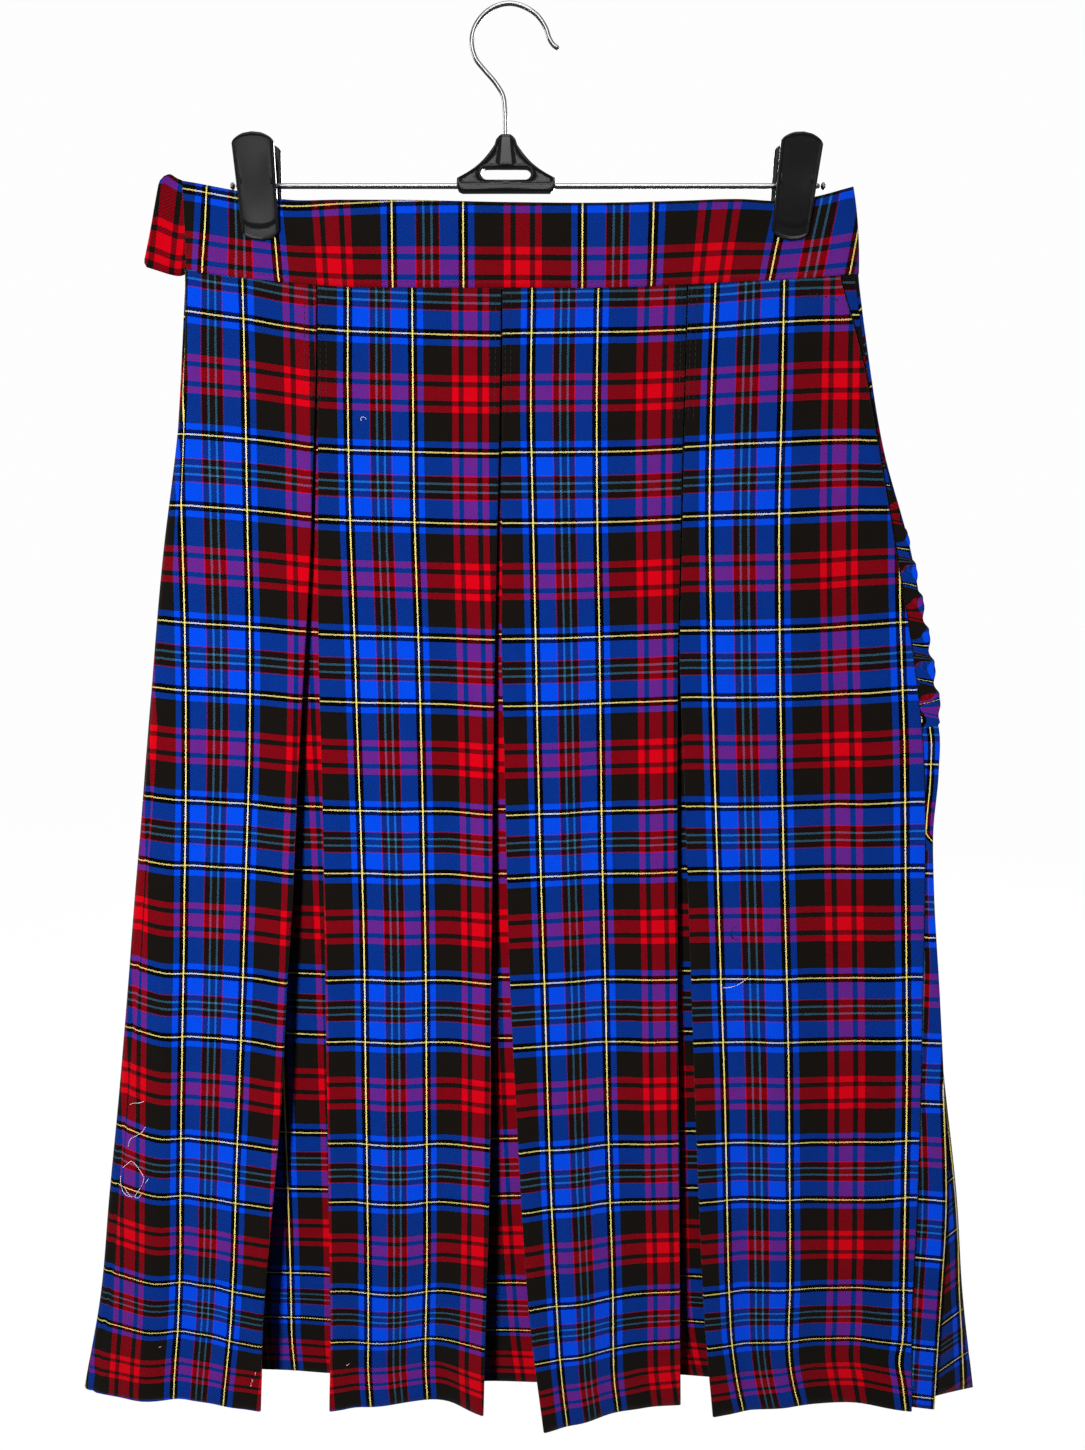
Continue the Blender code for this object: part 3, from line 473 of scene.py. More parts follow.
backFolds = {
    "columns": ["sideLeft", "b1Right", "b2Left", "b2Right", "b3Left", "b3Right", "b4Left",
                "sideRight"],
    "rows": [
        (0, -186.5, -102.3, -101.7, -2.3, -1.7, 98.7, 99.3, 199.6),
        (95, -196.6, -105.8, -103.6, -3.4, -1.4, 101.0, 103.0, 218.6),
        (215, -216.0, -113.5, -107.0, -5.5, -0.5, 104.6, 110.4, 250.4),
        (355, -235.0, -124.0, -111.0, -8.2, 1.6, 108.6, 119.8, 256.6),
        (495, -253.8, -136.0, -115.2, -11.6, 4.4, 112.2, 131.0, 277.4),
        (635, -274.0, -149.5, -119.6, -15.2, 9.0, 115.4, 143.8, 295.4),
        (703, -288.8, -157.0, -122.0, -17.4, 11.8, 117.0, 150.6, 306.0),
    ],
    "hemLifts": {"b1": (9, 30, 38, 44), "b2": (42, 36, 35, 41), "b3": (45, 37, 34, 40),
                 "b4": (43, 37, 30, 9)},
    "underlays": [(21.0, 24.0), (24.0, 22.0), (22.0, 20.0)],
    "shift": 106.0,           # how far behind the underlays' pattern runs
    "lineIn": (17.0, 62.0),   # first yellow line from a left fold, and panel b1's from its right
    "risesOf": ("p2", "p4", "p1", "p3"),      # whose pattern's rise each panel takes
}

# Soft folds laid over the panels: across and drop at both ends, half width, height (trough below 0)
frontCreases = [
    (-196, 300, -222, 705, 9, -2.4), (-214, 420, -247, 705, 12, 1.6), (-150, 60, -148, 330, 10, 0.9),
    (-172, 380, -186, 700, 10, 1.2), (-96, 30, -88, 260, 9, 0.8), (-70, 240, -64, 700, 14, 1.3),
    (-40, 120, -34, 520, 10, -1.2), (-100, 420, -104, 700, 8, -1.3), (24, 40, 30, 330, 11, 1.0),
    (46, 300, 60, 704, 12, -1.6), (80, 90, 84, 560, 9, 1.1), (14, 480, 34, 704, 8, -1.2),
    (126, 60, 130, 360, 9, 1.0), (205, 150, 196, 330, 9, -1.8), (182, 130, 170, 250, 8, 1.5),
    (160, 330, 176, 704, 13, 1.4), (214, 360, 226, 700, 12, -1.4), (140, 520, 152, 704, 8, -1.0),
    (60, 655, 80, 704, 9, 1.3), (-60, 660, -40, 704, 9, -1.2),
]
backCreases = [
    (-160, 40, -188, 700, 12, 1.8), (-128, 200, -140, 640, 10, -1.5), (-220, 330, -262, 703, 12, -1.6),
    (-80, 60, -84, 500, 10, 1.4), (-50, 260, -52, 700, 13, -1.5), (-24, 90, -34, 420, 9, 1.0),
    (22, 50, 36, 620, 12, 1.5), (58, 200, 72, 700, 11, -1.4), (84, 60, 92, 380, 9, 1.1),
    (132, 40, 168, 560, 12, 1.6), (176, 180, 214, 700, 14, -1.8), (226, 300, 262, 700, 11, 1.3),
    (150, 560, 190, 703, 9, -1.2), (-10, 600, -60, 703, 9, 1.0),
]


def riseAt(x, part=1.0):
    # how far the waist stands up at x: part 1 for its seam, 0 for its top edge
    seamAndTop = readRows(waistRise, x)
    return seamAndTop[..., 0] * part + seamAndTop[..., 1] * (1 - part)


def grown(top, hem, drops):
    # top at the waist, hem at the hem, between them growing as a power of the drop
    return top + (hem - top) * (drops / skirt["drop"]) ** skirt["liftPower"]


def foldLines(folds, drops):
    return dict(zip(folds["columns"], readRows(folds["rows"], drops).T))


def creaseHeight(creases, x, drops):
    # each crease is a bell across its line, faded at both ends
    total = np.zeros_like(x)
    for x0, d0, x1, d1, half, height in creases:
        along = np.clip((drops - d0) / (d1 - d0), 0, 1)
        ends = easeIn((drops - d0) / 60 + 0.5)
        if d1 < skirt["drop"] - 13:           # the others run out at the hem
            ends = ends * easeIn((d1 - drops) / 60 + 0.5)
        total += height * np.exp(-((x - (x0 + (x1 - x0) * along)) / half) ** 2) * ends
    # and a slow unevenness everywhere
    total += 0.35 * np.sin(x / 17 + drops / 61) * np.sin(drops / 43 - x / 29)
    return total + 0.16 * np.sin(x / 6.1 - drops / 23 + 1.3) * np.sin(drops / 11.7 + x / 13)


def makeRun(x, lift, u, rise=0.0):
    # A stretch of a wall, (rows, columns, 4): across, lift, place in the plaid, pattern's rise.
    return np.stack(np.broadcast_arrays(x, lift, u, rise), -1)


def panelRun(left, right, hemLifts, drops, lines, uLines, rise, creases):
    # A flat panel: its lift is the smooth curve through four growing lifts, plus its creases.
    inset = skirt["foldRadius"] + skirt["wall"] / 2
    f = np.linspace(0, 1, rise.shape[1])
    x = (left + inset)[:, None] + (right - left - 2 * inset)[:, None] * f
    lifts = np.stack([grown(skirt["topLift"], h, drops) for h in hemLifts])
    lift = smoothCurve((0.0, 1 / 3, 2 / 3, 1.0), lifts, f).T
    edge = np.sqrt(np.clip(np.minimum(f, 1 - f) * 9, 0, 1)) * easeIn(drops[:, None] / 40)
    lift = lift + creaseHeight(creases, x, drops[:, None]) * edge
    # the plaid's place: straight between the yellow lines, unstretched outside them
    u = uLines[0] + (x - lines[:, :1])
    for k in range(len(uLines) - 1):
        a, b = lines[:, k][:, None], lines[:, k + 1][:, None]
        u = np.where(x >= a, uLines[k] + (uLines[k + 1] - uLines[k]) * (x - a) / (b - a), u)
    u = np.where(x >= lines[:, -1:], uLines[-1] + (x - lines[:, -1:]), u)
    return makeRun(x, lift, u, rise)


def foldRun(x, frontLift, side, uStart, uSign=1, count=6, rise=0.0):
    # Half a circle that carries the wall round a fold, its nose at x; side is 1 for a nose to the
    # right. It goes from frontLift inwards.
    r = skirt["foldRadius"]
    nose = x - side * skirt["wall"] / 2
    a = np.linspace(0, math.pi, count + 2)[1:-1]
    px = (nose - side * r)[:, None] + side * r * np.sin(a)
    return makeRun(px, (frontLift - r)[:, None] + r * np.cos(a), uStart[:, None] + uSign * r * a,
                   rise)


def panelFold(x, panel, side):
    # the fold at a panel's right edge (side 1) or at its left (side -1)
    last = panel[:, -1 if side > 0 else 0]
    fold = foldRun(x, last[:, 1], side, last[:, 2], side, rise=last[:, 3:])
    return fold if side > 0 else fold[:, ::-1]


def innerFold(x, lift, side, u, rise):
    # The fold between a return and its underlay, at the underlay's left (side -1) or right end.
    r, half = skirt["foldRadius"], skirt["wall"] / 2
    fold = foldRun(x + side * (r + half), lift + 2 * r, side, u, side, 4, rise)
    there, back = (fold, fold[:, ::-1]) if side < 0 else (fold[:, ::-1], fold)
    return np.concatenate([there[..., :2], back[..., 2:]], -1)


def bridgeRun(start, end, count):
    # The cloth hidden between two folds: evenly from one to the other, its lift a little eased.
    t = np.linspace(0, 1, count + 2)[1:-1]
    part = np.stack([t, 0.45 * t + 0.55 * easeIn(t), t, t], -1)
    return start[:, -1:] + (end[:, :1] - start[:, -1:]) * part


def sideCurve(x, panel, seamLift, drops, side):
    # The last curve to a side seam: a quarter turn from the panel's lift to the seam's.
    last = panel[:, -1 if side > 0 else 0]
    depth = np.maximum(last[:, 1] - seamLift, 0.4)
    run = np.minimum(3.0 + 0.012 * drops, 0.8 * depth + 2.0)
    a = np.linspace(0, math.pi / 2, 7)
    px = (x - side * run)[:, None] + side * run[:, None] * np.sin(a) ** 0.9
    pl = seamLift[:, None] + depth[:, None] * np.cos(a) ** 1.1
    arc = 0.5 * (depth + run)[:, None] * 1.2 * a / (math.pi / 2)
    curve = makeRun(px, pl, last[:, 2:3] + side * arc, last[:, 3:])
    return curve if side > 0 else curve[:, ::-1]


def pleatRuns(leftPanel, rightPanel, leftEdge, rightEdge, underlay, drops, shift, rise):
    # The cloth hidden between two panels: fold, return, inner fold, underlay, and back again.
    r, half = skirt["foldRadius"], skirt["wall"] / 2
    reach = skirt["pleatDepth"] - (rightEdge - leftEdge) / 2
    liftA, liftB = (grown(skirt["topLift"] - 4 * r, hem, drops) for hem in underlay)
    outerA, outerB = panelFold(leftEdge, leftPanel, 1), panelFold(rightEdge, rightPanel, -1)
    xA, xB = leftEdge - reach + r - half, rightEdge + reach - r + half
    uEdge = rightPanel[:, 0, 2] - shift
    uA, uB = uEdge + (xA - rightEdge), uEdge + (xB - rightEdge)
    f = np.linspace(0, 1, 12)
    sway = 0.5 * np.sin(f * 9 + drops[:, None] / 50) * np.sin(math.pi * f)
    lift = liftA[:, None] + (liftB - liftA)[:, None] * f + sway * easeIn(drops[:, None] / 200)
    rise = rise[:, None]
    under = makeRun(xA[:, None] + (xB - xA)[:, None] * f, lift,
                    uA[:, None] + (uB - uA)[:, None] * f, rise)
    innerA, innerB = innerFold(xA, liftA, -1, uA, rise), innerFold(xB, liftB, 1, uB, rise)
    return [outerA, bridgeRun(outerA, innerA, 8), innerA, under, innerB,
            bridgeRun(innerB, outerB, 8), outerB]


def panelRises(name, drops, count=27):
    # The pattern's rise over a panel, (rows, count).
    rise = readRows(patternRise[name], drops)
    return smoothCurve(risePlaces, rise.T, np.linspace(0, 1, count)).T


def chainRuns(panels, edges, underlays, drops, shifts, rises):
    runs = []
    for k, panel in enumerate(panels):
        runs.append(panel)
        if k < len(underlays):
            runs += pleatRuns(panel, panels[k + 1], edges[k][1], edges[k + 1][0], underlays[k],
                              drops, shifts[k], rises[k])
    return runs


def frontRuns(drops):
    at = foldLines(frontFolds, drops)
    line, repeat = plaid["line"], plaid["repeat"]
    panels, edges = [], []
    for k, name in enumerate(panelLines):
        left, right = at[f"{name}Left" if k else "sideLeft"], at[f"{name}Right"]
        base = 3 * k * repeat
        uLines = [base - line, base + line] + ([base + repeat - line] if k == 3 else [])
        panels.append(panelRun(left, right, frontFolds["hemLifts"][name], drops,
                               readRows(panelLines[name], drops), uLines,
                               panelRises(name, drops), frontCreases))
        edges.append((left, right))
    # the left side turns in to its seam
    side = sideCurve(at["sideLeft"], panels[0], np.full_like(drops, skirt["seamLift"]), drops, -1)
    panels[0] = panels[0][:, 2:]
    return ([side] + chainRuns(panels, edges, frontFolds["underlays"], drops, underlayShift,
                               readRows(underlayRise, drops).T)
            + rightSideRuns(at, panels[3], drops))


def rightSideRuns(at, panel, drops):
    # The fourth panel's edge, the strip pleat behind it and the outer pleat at the side.
    r, half = skirt["foldRadius"], skirt["wall"] / 2
    base = 10 * plaid["repeat"]
    table = np.array(sidePattern, float).T
    nose, stripRise, outerRise, lineIn = (np.interp(drops, table[0], row) for row in table[1:])
    stripRise, outerRise = stripRise[:, None], outerRise[:, None]
    stripIn, stripOut = (grown(skirt["topLift"] - 4 * r, frontFolds[name], drops)
                         for name in ("stripInnerLift", "stripLift"))
    outer = [grown(skirt["topLift"] - 8 * r, hem, drops) for hem in frontFolds["outerLifts"]]
    edge = panelFold(at["p4Right"], panel, 1)
    xIn = at["p4Right"] - frontFolds["stripDepth"] + r - half
    xOut = at["strip"] - r - half
    uOut = base + nose
    uIn = uOut + frontFolds["stripStretch"] * (xIn - xOut)
    inner = innerFold(xIn, stripIn, -1, uIn, stripRise)
    f = np.linspace(0, 1, 16)
    sway = 0.5 * np.sin(drops[:, None] / 37 + 2 * f) * np.sin(math.pi * f)
    strip = makeRun(xIn[:, None] + (xOut - xIn)[:, None] * f,
                    stripIn[:, None] + (stripOut - stripIn)[:, None] * f + sway,
                    uIn[:, None] + (uOut - uIn)[:, None] * f, stripRise)
    noseRun = foldRun(at["strip"], stripOut, 1, uOut, rise=stripRise)
    xBack = xOut - frontFolds["stripReturn"]
    f = np.linspace(0, 1, 14)
    x = xBack[:, None] + (at["sideRight"] - xBack)[:, None] * f
    u = base + plaid["repeat"] - plaid["line"] + (x - (at["sideRight"] - lineIn)[:, None])
    rise = outerRise + frontFolds["outerTilt"] * (x - at["strip"][:, None])
    outerRun = makeRun(x, smoothCurve((0.0, 0.5, 1.0), np.stack(outer), f).T, u, rise)
    back = innerFold(xBack, outer[0], -1, u[:, 0], rise[:, :1])
    return [edge, bridgeRun(edge, inner, 6), inner, strip, noseRun, bridgeRun(noseRun, back, 3),
            back, outerRun]


def backRuns(drops):
    at = foldLines(backFolds, drops)
    line, (fromLeft, fromRight) = plaid["line"], backFolds["lineIn"]
    panels, edges = [], []
    for k, name in enumerate(backFolds["hemLifts"]):
        left = at[f"{name}Left" if k else "sideLeft"]
        right = at[f"{name}Right" if k < 3 else "sideRight"]
        base = 3 * k * plaid["repeat"]
        # the plaid hangs straight from the panel's fold that lies nearer the middle
        anchor = left + fromLeft if k else right - fromRight
        panels.append(panelRun(left, right, backFolds["hemLifts"][name], drops,
                               np.stack([anchor, anchor + 2 * line], 1), [base - line, base + line],
                               panelRises(backFolds["risesOf"][k], drops), backCreases))
        edges.append((left, right))
    left = sideCurve(at["sideLeft"], panels[0], np.full_like(drops, skirt["seamLift"]), drops, -1)
    outerEnd = grown(skirt["topLift"] - 8 * skirt["foldRadius"], frontFolds["outerLifts"][2], drops)
    right = sideCurve(at["sideRight"] - 0.5, panels[3], skirt["wall"] + 0.3 - outerEnd, drops, 1)
    panels[0], panels[3] = panels[0][:, 2:], panels[3][:, :-2]
    rises = [0.5 * (panels[k][:, -1, 3] + panels[k + 1][:, 0, 3]) - 1.0 for k in range(3)]
    return [left] + chainRuns(panels, edges, backFolds["underlays"], drops,
                              [backFolds["shift"]] * 3, rises) + [right]


def wallGrid(runs, drops, facing):
    # Points (rows, columns, 3) and plaid places of a wall. The last rows go round the hem and up
    # again inside, one turn-up gap behind the cloth, square to the section.
    x, lift, u, rise = np.moveaxis(np.concatenate(runs, 1), -1, 0)
    down = drops[:, None]
    z = (skirt["seamZ"] - skirt["waistJoin"] - down
         + riseAt(x) * (1 - down / skirt["drop"]) ** 2)
    v = down - patternStart + rise
    # the raw edge runs up inside the waistband
    z[0], v[0] = z[0] + skirt["rawEdge"], v[0] - skirt["rawEdge"]
    # the stitched top of the turn-up shows as a faint step
    turnTop = skirt["drop"] - skirt["turnUp"]
    lift = lift - 0.30 * np.exp(-((down - turnTop) / 1.6) ** 2)
    lift = lift + 0.25 * easeIn((down - turnTop - 2.0) / 6)
    up = np.array([1.0, 1.6, 4.0, 8.0, 14.0, 20.0, skirt["turnUp"]])
    dx, dl = np.gradient(x, axis=1), np.gradient(lift, axis=1)
    size = np.hypot(dx, dl) + 1e-9
    nx, nl = dl / size, -dx / size
    gap = skirt["turnUpGap"]
    rows = np.interp(skirt["drop"] - up, drops, np.arange(len(drops)))
    low = np.floor(rows).astype(int)
    high, part = np.minimum(low + 1, len(drops) - 1), (rows - low)[:, None]

    def pick(a):
        return a[low] * (1 - part) + a[high] * part

    curl = np.array([0.75, 1, 1, 1, 1, 1, 0.9])[:, None] * gap
    x = np.concatenate([x, x[-1:] + nx[-1:] * gap / 2, pick(x) + pick(nx) * curl])
    lift = np.concatenate([lift, lift[-1:] + nl[-1:] * gap / 2, pick(lift) + pick(nl) * curl])
    z = np.concatenate([z, z[-1:] - 0.35, pick(z)])
    u = np.concatenate([u, u[-1:], pick(u)])
    v = np.concatenate([v, v[-1:] + 0.6, v[-1:] + 1.2 + up[:, None]])
    return np.stack([x, facing * lift, z], -1), np.stack([u, v], -1) / plaid["repeat"]


def clothPiece(name, node, points, places, **shape):
    return finishPiece(gridMesh(name, points, materials["plaid"], places, **shape), "plaid_cloth",
                       node)


wallDrops = np.unique(np.concatenate([
    np.linspace(0, skirt["drop"], skirt["rows"]),
    skirt["drop"] - skirt["turnUp"] + np.array([-3.0, -1.6, -0.8, 0.0, 0.8, 1.6, 3.0]),
]))
frontParts, backParts = frontRuns(wallDrops), backRuns(wallDrops)
frontPoints, frontPlaces = wallGrid(frontParts, wallDrops, -1)
backPoints, backPlaces = wallGrid(backParts, wallDrops, 1)
skirtFront = clothPiece("skirtFront", "skirt_front", frontPoints, frontPlaces, wall=skirt["wall"],
                        flip=True)
skirtBack = clothPiece("skirtBack", "skirt_back", backPoints, backPlaces, wall=skirt["wall"])
print("skirt walls made", frontPoints.shape, backPoints.shape)

# The rippled side underlap

placket = {
    "length": 257.0, "rows": 190, "columns": 15, "wall": 0.7, "inner": 3.4, "outer": 2.4,
    "tip": 9.0,               # over this length its end is rounded
    "ripple": 19.0, "swell": 2.6, "start": 90.0,    # where the ripples start to show
    "stretch": 1.9,           # plaid taken up by the ripples
    # the black stripe beside the panel is painted shade: the plaid's place is chosen so the dark falls
    # where the fourth panel shades it
    "black": 35.5,            # place in the plaid beside the panel
    "blueTip": (17.0, 240.0),       # how far that place shifts at the tip, and from which drop on
    "stretchFrom": 100.0,     # drop from which its length takes up more plaid
    "flare": (5.4, 255.0, 5),       # its outer edge swings out: how far, by which drop, power
    "forward": (12.2, 285.0, 1.7),  # it stands off the middle: how far, by which drop, power
}


def placketGrid():
    # Across is from behind the fourth panel's fold to the side; each ripple is half a sine
    # forwards, and the outer edge swings out and in with it.
    drops = np.linspace(0, placket["length"], placket["rows"])
    down = drops[:, None]
    at = foldLines(frontFolds, drops)
    inner = at["p4Right"] - placket["inner"]
    shown = np.clip((drops - placket["start"]) / 60, 0, 1)
    phase = 2 * math.pi * drops / placket["ripple"]
    wave = 0.5 - 0.5 * np.cos(phase)
    tip = np.clip((drops - placket["length"] + placket["tip"]) / placket["tip"], 0, 1)
    outer = at["sideRight"] - placket["outer"] + (1.6 * wave - 0.5 * np.sin(2 * phase)) * shown
    reach, full, power = placket["flare"]
    outer = outer + reach * np.minimum(1, drops / full) ** power
    outer = inner + 4.6 + (outer - inner - 4.6) * np.sqrt(np.clip(1 - tip ** 2.4, 0, 1))
    s = np.linspace(0, 1, placket["columns"])
    reach, full, power = placket["forward"]
    base = 0.1 + reach * (drops / full) ** power - 1.2 * easeIn(drops / 100)
    # each ripple leans over the next, so its crest comes later towards the outer edge
    lean = phase[:, None] - 1.5 * s
    swell = placket["swell"] * shown[:, None] * (0.5 - 0.5 * np.cos(lean))
    lift = base[:, None] + swell * (0.25 + 0.95 * s)
    lift = lift - 1.9 * (1 - s) ** 2 * (down / placket["length"]) ** 8
    x = inner[:, None] + (outer - inner)[:, None] * s
    ripple = shown[:, None] * np.sin(phase)[:, None]
    rise = riseAt(outer) * (1 - drops / skirt["drop"]) ** 2
    z = (skirt["seamZ"] - skirt["waistJoin"] - drops + rise)[:, None] - 2.2 * 0.6 * s * ripple
    # the plaid's own black stripe runs down beside the panel, placed there as painted shade from the
    # panel's edge, and blue shows at the rim, all of it at the tip
    u = placket["black"] - 0.95 * (x - at["p4Right"][:, None]) + 2.4 * ripple
    shift, tipFrom = placket["blueTip"]
    u = u - shift * easeIn((down - tipFrom) / 5)
    begin = placket["stretchFrom"]
    v = np.where(down > begin, begin + (down - begin) * placket["stretch"], down)
    v = v - patternStart + 4.0 + 5.0 * shown[:, None] * np.sin(lean)
    return np.stack([x, -lift, z], -1), np.stack([u, v], -1) / plaid["repeat"]


placketPoints, placketPlaces = placketGrid()
sidePlacket = clothPiece("sidePlacket", "side_placket", placketPoints, placketPlaces,
                         wall=placket["wall"], flip=True)

# Waistband and its tab

band = {
    "height": 47.0, "wall": 2.0, "left": -186.0, "right": 200.0, "topLift": 2.0,
    "slant": (5.0, 0.8, 30.0),    # how far the right end leans in: top, bottom, over this length
    "bottomLift": 5.6, "pinchLift": 1.35, "backInset": 6.0, "seamGap": 0.3,
    "redAboveSeam": 10.9,     # the red centre's height above the seam
    # where the yellow lines cross: across, their place in the plaid, lean, stretch above the red
    "lines": [(-174.0, -19.9, 0.09, 1.05), (-134.2, 19.9, -0.09, 1.05), (-67.4, 86.9, 0.0, 0.94),
              (-27.2, 126.7, 0.0, 0.90), (40.8, 193.7, 0.0, 0.88), (80.3, 233.5, 0.02, 0.88),
              (151.4, 300.5, 0.20, 0.88), (196.8, 340.3, 0.19, 0.88)],
    "redTop": 14.6,           # above this height the plaid is stretched
    "free": (13.0, 30.0),     # from a clip: where the halves start to part, and over how far
    "stitchGroove": (3.0, 0.22, 0.8),    # height, depth, half width
}
clips = {"left": (-142.6, math.radians(-2.0)), "right": (160.6, math.radians(5.0))}


def bandLift(x, part):
    # nearly flat together under the clips, and opening towards the seam elsewhere
    away = np.min([np.abs(x - place) for place, _ in clips.values()], axis=0)
    free = easeIn((away - band["free"][0]) / band["free"][1])
    pinch, top, bottom = band["pinchLift"], band["topLift"], band["bottomLift"]
    pinched = pinch + (bottom - pinch) * np.maximum(0, part - 0.5) / 0.5
    return pinched + (top + (bottom - top) * part - pinched) * free


def flatLoop(least):
    # A flat band's section, down the outside and up the inside: how far down, which face, and how
    # thick it is there, rounded off along both edges.
    part = np.linspace(0, 1, 22)
    out, side = np.concatenate([part, part[::-1]]), np.repeat((1.0, -1.0), 22)
    half = band["wall"] / 2
    return out, side, roundOff(np.minimum(out, 1 - out) * band["height"], half, least) * half


def bandChart(x, height, measured):
    # Plaid place at a point of the band: across through the lines, each leaning with height, and
    # down from the red centre, the part above it stretched.
    lines = np.array(band["lines"])
    lean, stretch = (np.interp(x, lines[:, 0], lines[:, k]) for k in (2, 3))
    level = x - lean * (np.minimum(height, band["height"]) - 20.0)
    u = np.interp(level, lines[:, 0], lines[:, 1])
    u = u + np.minimum(level - lines[0, 0], 0) + np.maximum(level - lines[-1, 0], 0)
    above = np.maximum(measured - band["redTop"], 0) * stretch
    v = plaid["repeat"] / 2 + band["redAboveSeam"] - np.minimum(measured, band["redTop"]) - above
    return np.stack([u, v], -1) / plaid["repeat"]


def bandGrid(left, right, facing, curveEnds):
    # One half of the waistband: a closed flat loop in section, rounded along its top and bottom,
    # standing bandLift off the middle.
    near = np.array([0, 0.5, 1.2, 2.4, 4.5, 8.0])
    xs = np.concatenate([left + near, np.linspace(left + 12, right - 12, 110), right - near[::-1]])
    half = band["wall"] / 2
    out, side, thick = flatLoop(0.02)
    x = np.repeat(xs[:, None], len(out), 1)
    endNear = np.minimum(xs - left if curveEnds[0] else 1e3, right - xs if curveEnds[1] else 1e3)
    curve = 0.3 + 0.7 * easeIn(endNear / 9.0 + 0.15)
    lift = np.maximum(half + band["seamGap"], bandLift(x, out[None]) * curve[:, None])
    endThin = roundOff(np.minimum(xs - left, right - xs), half, 0.03)
    # edge stitching just above the seam presses a groove, and the body above it stays full
    height = (band["height"] * (1 - out))[None]
    at, depth, width = band["stitchGroove"]
    groove = depth * np.exp(-((height - at) / width) ** 2)
    full = 0.12 * np.sin(x / 9.0 + 1.0) * np.sin(height / 7.0)
    lift = lift + side * (thick * endThin[:, None] - groove + full)
    z = skirt["seamZ"] + height + riseAt(x, out[None])
    s = np.where(side < 0, 2 * band["height"] + 2 - height, height)
    top, lower, length = band["slant"]
    x = x - (top * (1 - out) ** 2 + lower) * np.clip(1 - (right - x) / length, 0, 1)
    return np.stack([x, facing * lift, z], -1), bandChart(x, height, s)


def bandPiece(name, node, left, right, facing, ends):
    points, places = bandGrid(left, right, facing, ends)
    return clothPiece(name, node, points, places, loopColumns=True, closeEnds=True,
                      flip=facing > 0)


waistbandFront = bandPiece("waistbandFront", "waistband_front", band["left"], band["right"], -1,
                           (True, True))
waistbandBack = bandPiece("waistbandBack", "waistband_back", band["left"] + band["backInset"],
                          band["right"], 1, (False, True))

tab = {
    "reaches": (17.6, 30.2), "corner": (2.2, 4.0), "redFromEdge": 9.2, "patternRise": (2.4, 4.6),
    "swing": 2.4,             # how far its free end stands forward
    "trough": (2.4, 0.16, 0.12),    # the hollow beside the band: depth, where along, half width
    # along it: how far the lower and the upper edge stand above the band's own
    "edges": [(0.0, 0.6, -1.8), (0.2, 1.1, 0.2), (0.4, -0.5, 1.7), (0.6, 0.2, 2.9), (0.8, 1.7, 4.5),
              (1.0, 3.2, 3.2)],
}


def tabGrid():
    # The band's extension: from the back half's end it drops away left, its lower edge swung
    # outwards, in section the same flat closed loop as the band.
    start = band["left"] + band["backInset"] - band["seamGap"]
    run = np.linspace(0, 1, 36)[:, None]
    out, side, thick = flatLoop(0.03)
    height = (band["height"] * (1 - out))[None]
    top, bottom = tab["reaches"]
    reach = (top + (bottom - top) * out)[None]
    # the free end is a little rounded at both corners
    size, over = tab["corner"]
    corner = size * np.clip(1 - np.minimum(out, 1 - out) * band["height"] / over, 0, 1) ** 2
    x = start - (reach - corner) * run
    bend = bandLift(np.full_like(out, start), out)[None] * (1 - run) - tab["swing"] * run
    depth, place, width = tab["trough"]
    bend = bend + 1.4 * np.sin(math.pi * run) + 0.5 * np.sin(out * 6 + run * 4) * run
    bend = bend - depth * np.exp(-((run - place) / width) ** 2) * (1 - 0.5 * out)
    y = bend - side * thick * roundOff((1 - run) * reach, band["wall"] / 2, 0.04)
    above = readRows(tab["edges"], run[:, 0])
    z = (skirt["seamZ"] + height + riseAt(start, out)[None] + above[:, 1:]
         + (above[:, :1] - above[:, 1:]) * out)
    u = plaid["repeat"] / 2 + (x - (start - reach + tab["redFromEdge"])) + 4.0 * (1 - out)
    low, high = tab["patternRise"]
    v = plaid["repeat"] / 2 + band["redAboveSeam"] + low + (high - low) * run - height
    return np.stack([x, y, z], -1), np.stack([u, v], -1) / plaid["repeat"]


waistbandTab = clothPiece("waistbandTab", "waistband_tab", *tabGrid(), loopColumns=True,
                          closeEnds=True)
print("waistband made")

# Hanger

hanger = {
    "wireRadius": 1.3, "barZ": -94.4, "jawZ": -96.0, "barRadius": 1.5, "barEnds": (-156.0, 175.5),
    "capRadius": 2.1, "capLength": 3.0, "springRadius": 3.2, "springWire": 0.65,
    "springHalf": 5.0, "springTurns": 7, "armReach": 15.0, "capGap": 0.3,
    "hook": [(-2.8, -74.0), (-2.9, -64.0), (-3.1, -54.0), (-4.2, -46.5), (-8.2, -40.0),
             (-14.2, -33.4), (-19.4, -27.0), (-21.4, -20.0), (-20.4, -12.6), (-15.6, -5.2),
             (-8.4, -0.4), (0.0, 1.3), (8.6, -0.8), (15.6, -5.4), (20.0, -11.8), (22.0, -17.2),
             (24.2, -20.2), (27.2, -22.2)],
}


def steelRod(name, node, path, radius, sides):
    finishPiece(tube(name, path, radius, materials["steel"], sides), "bright_steel", node)


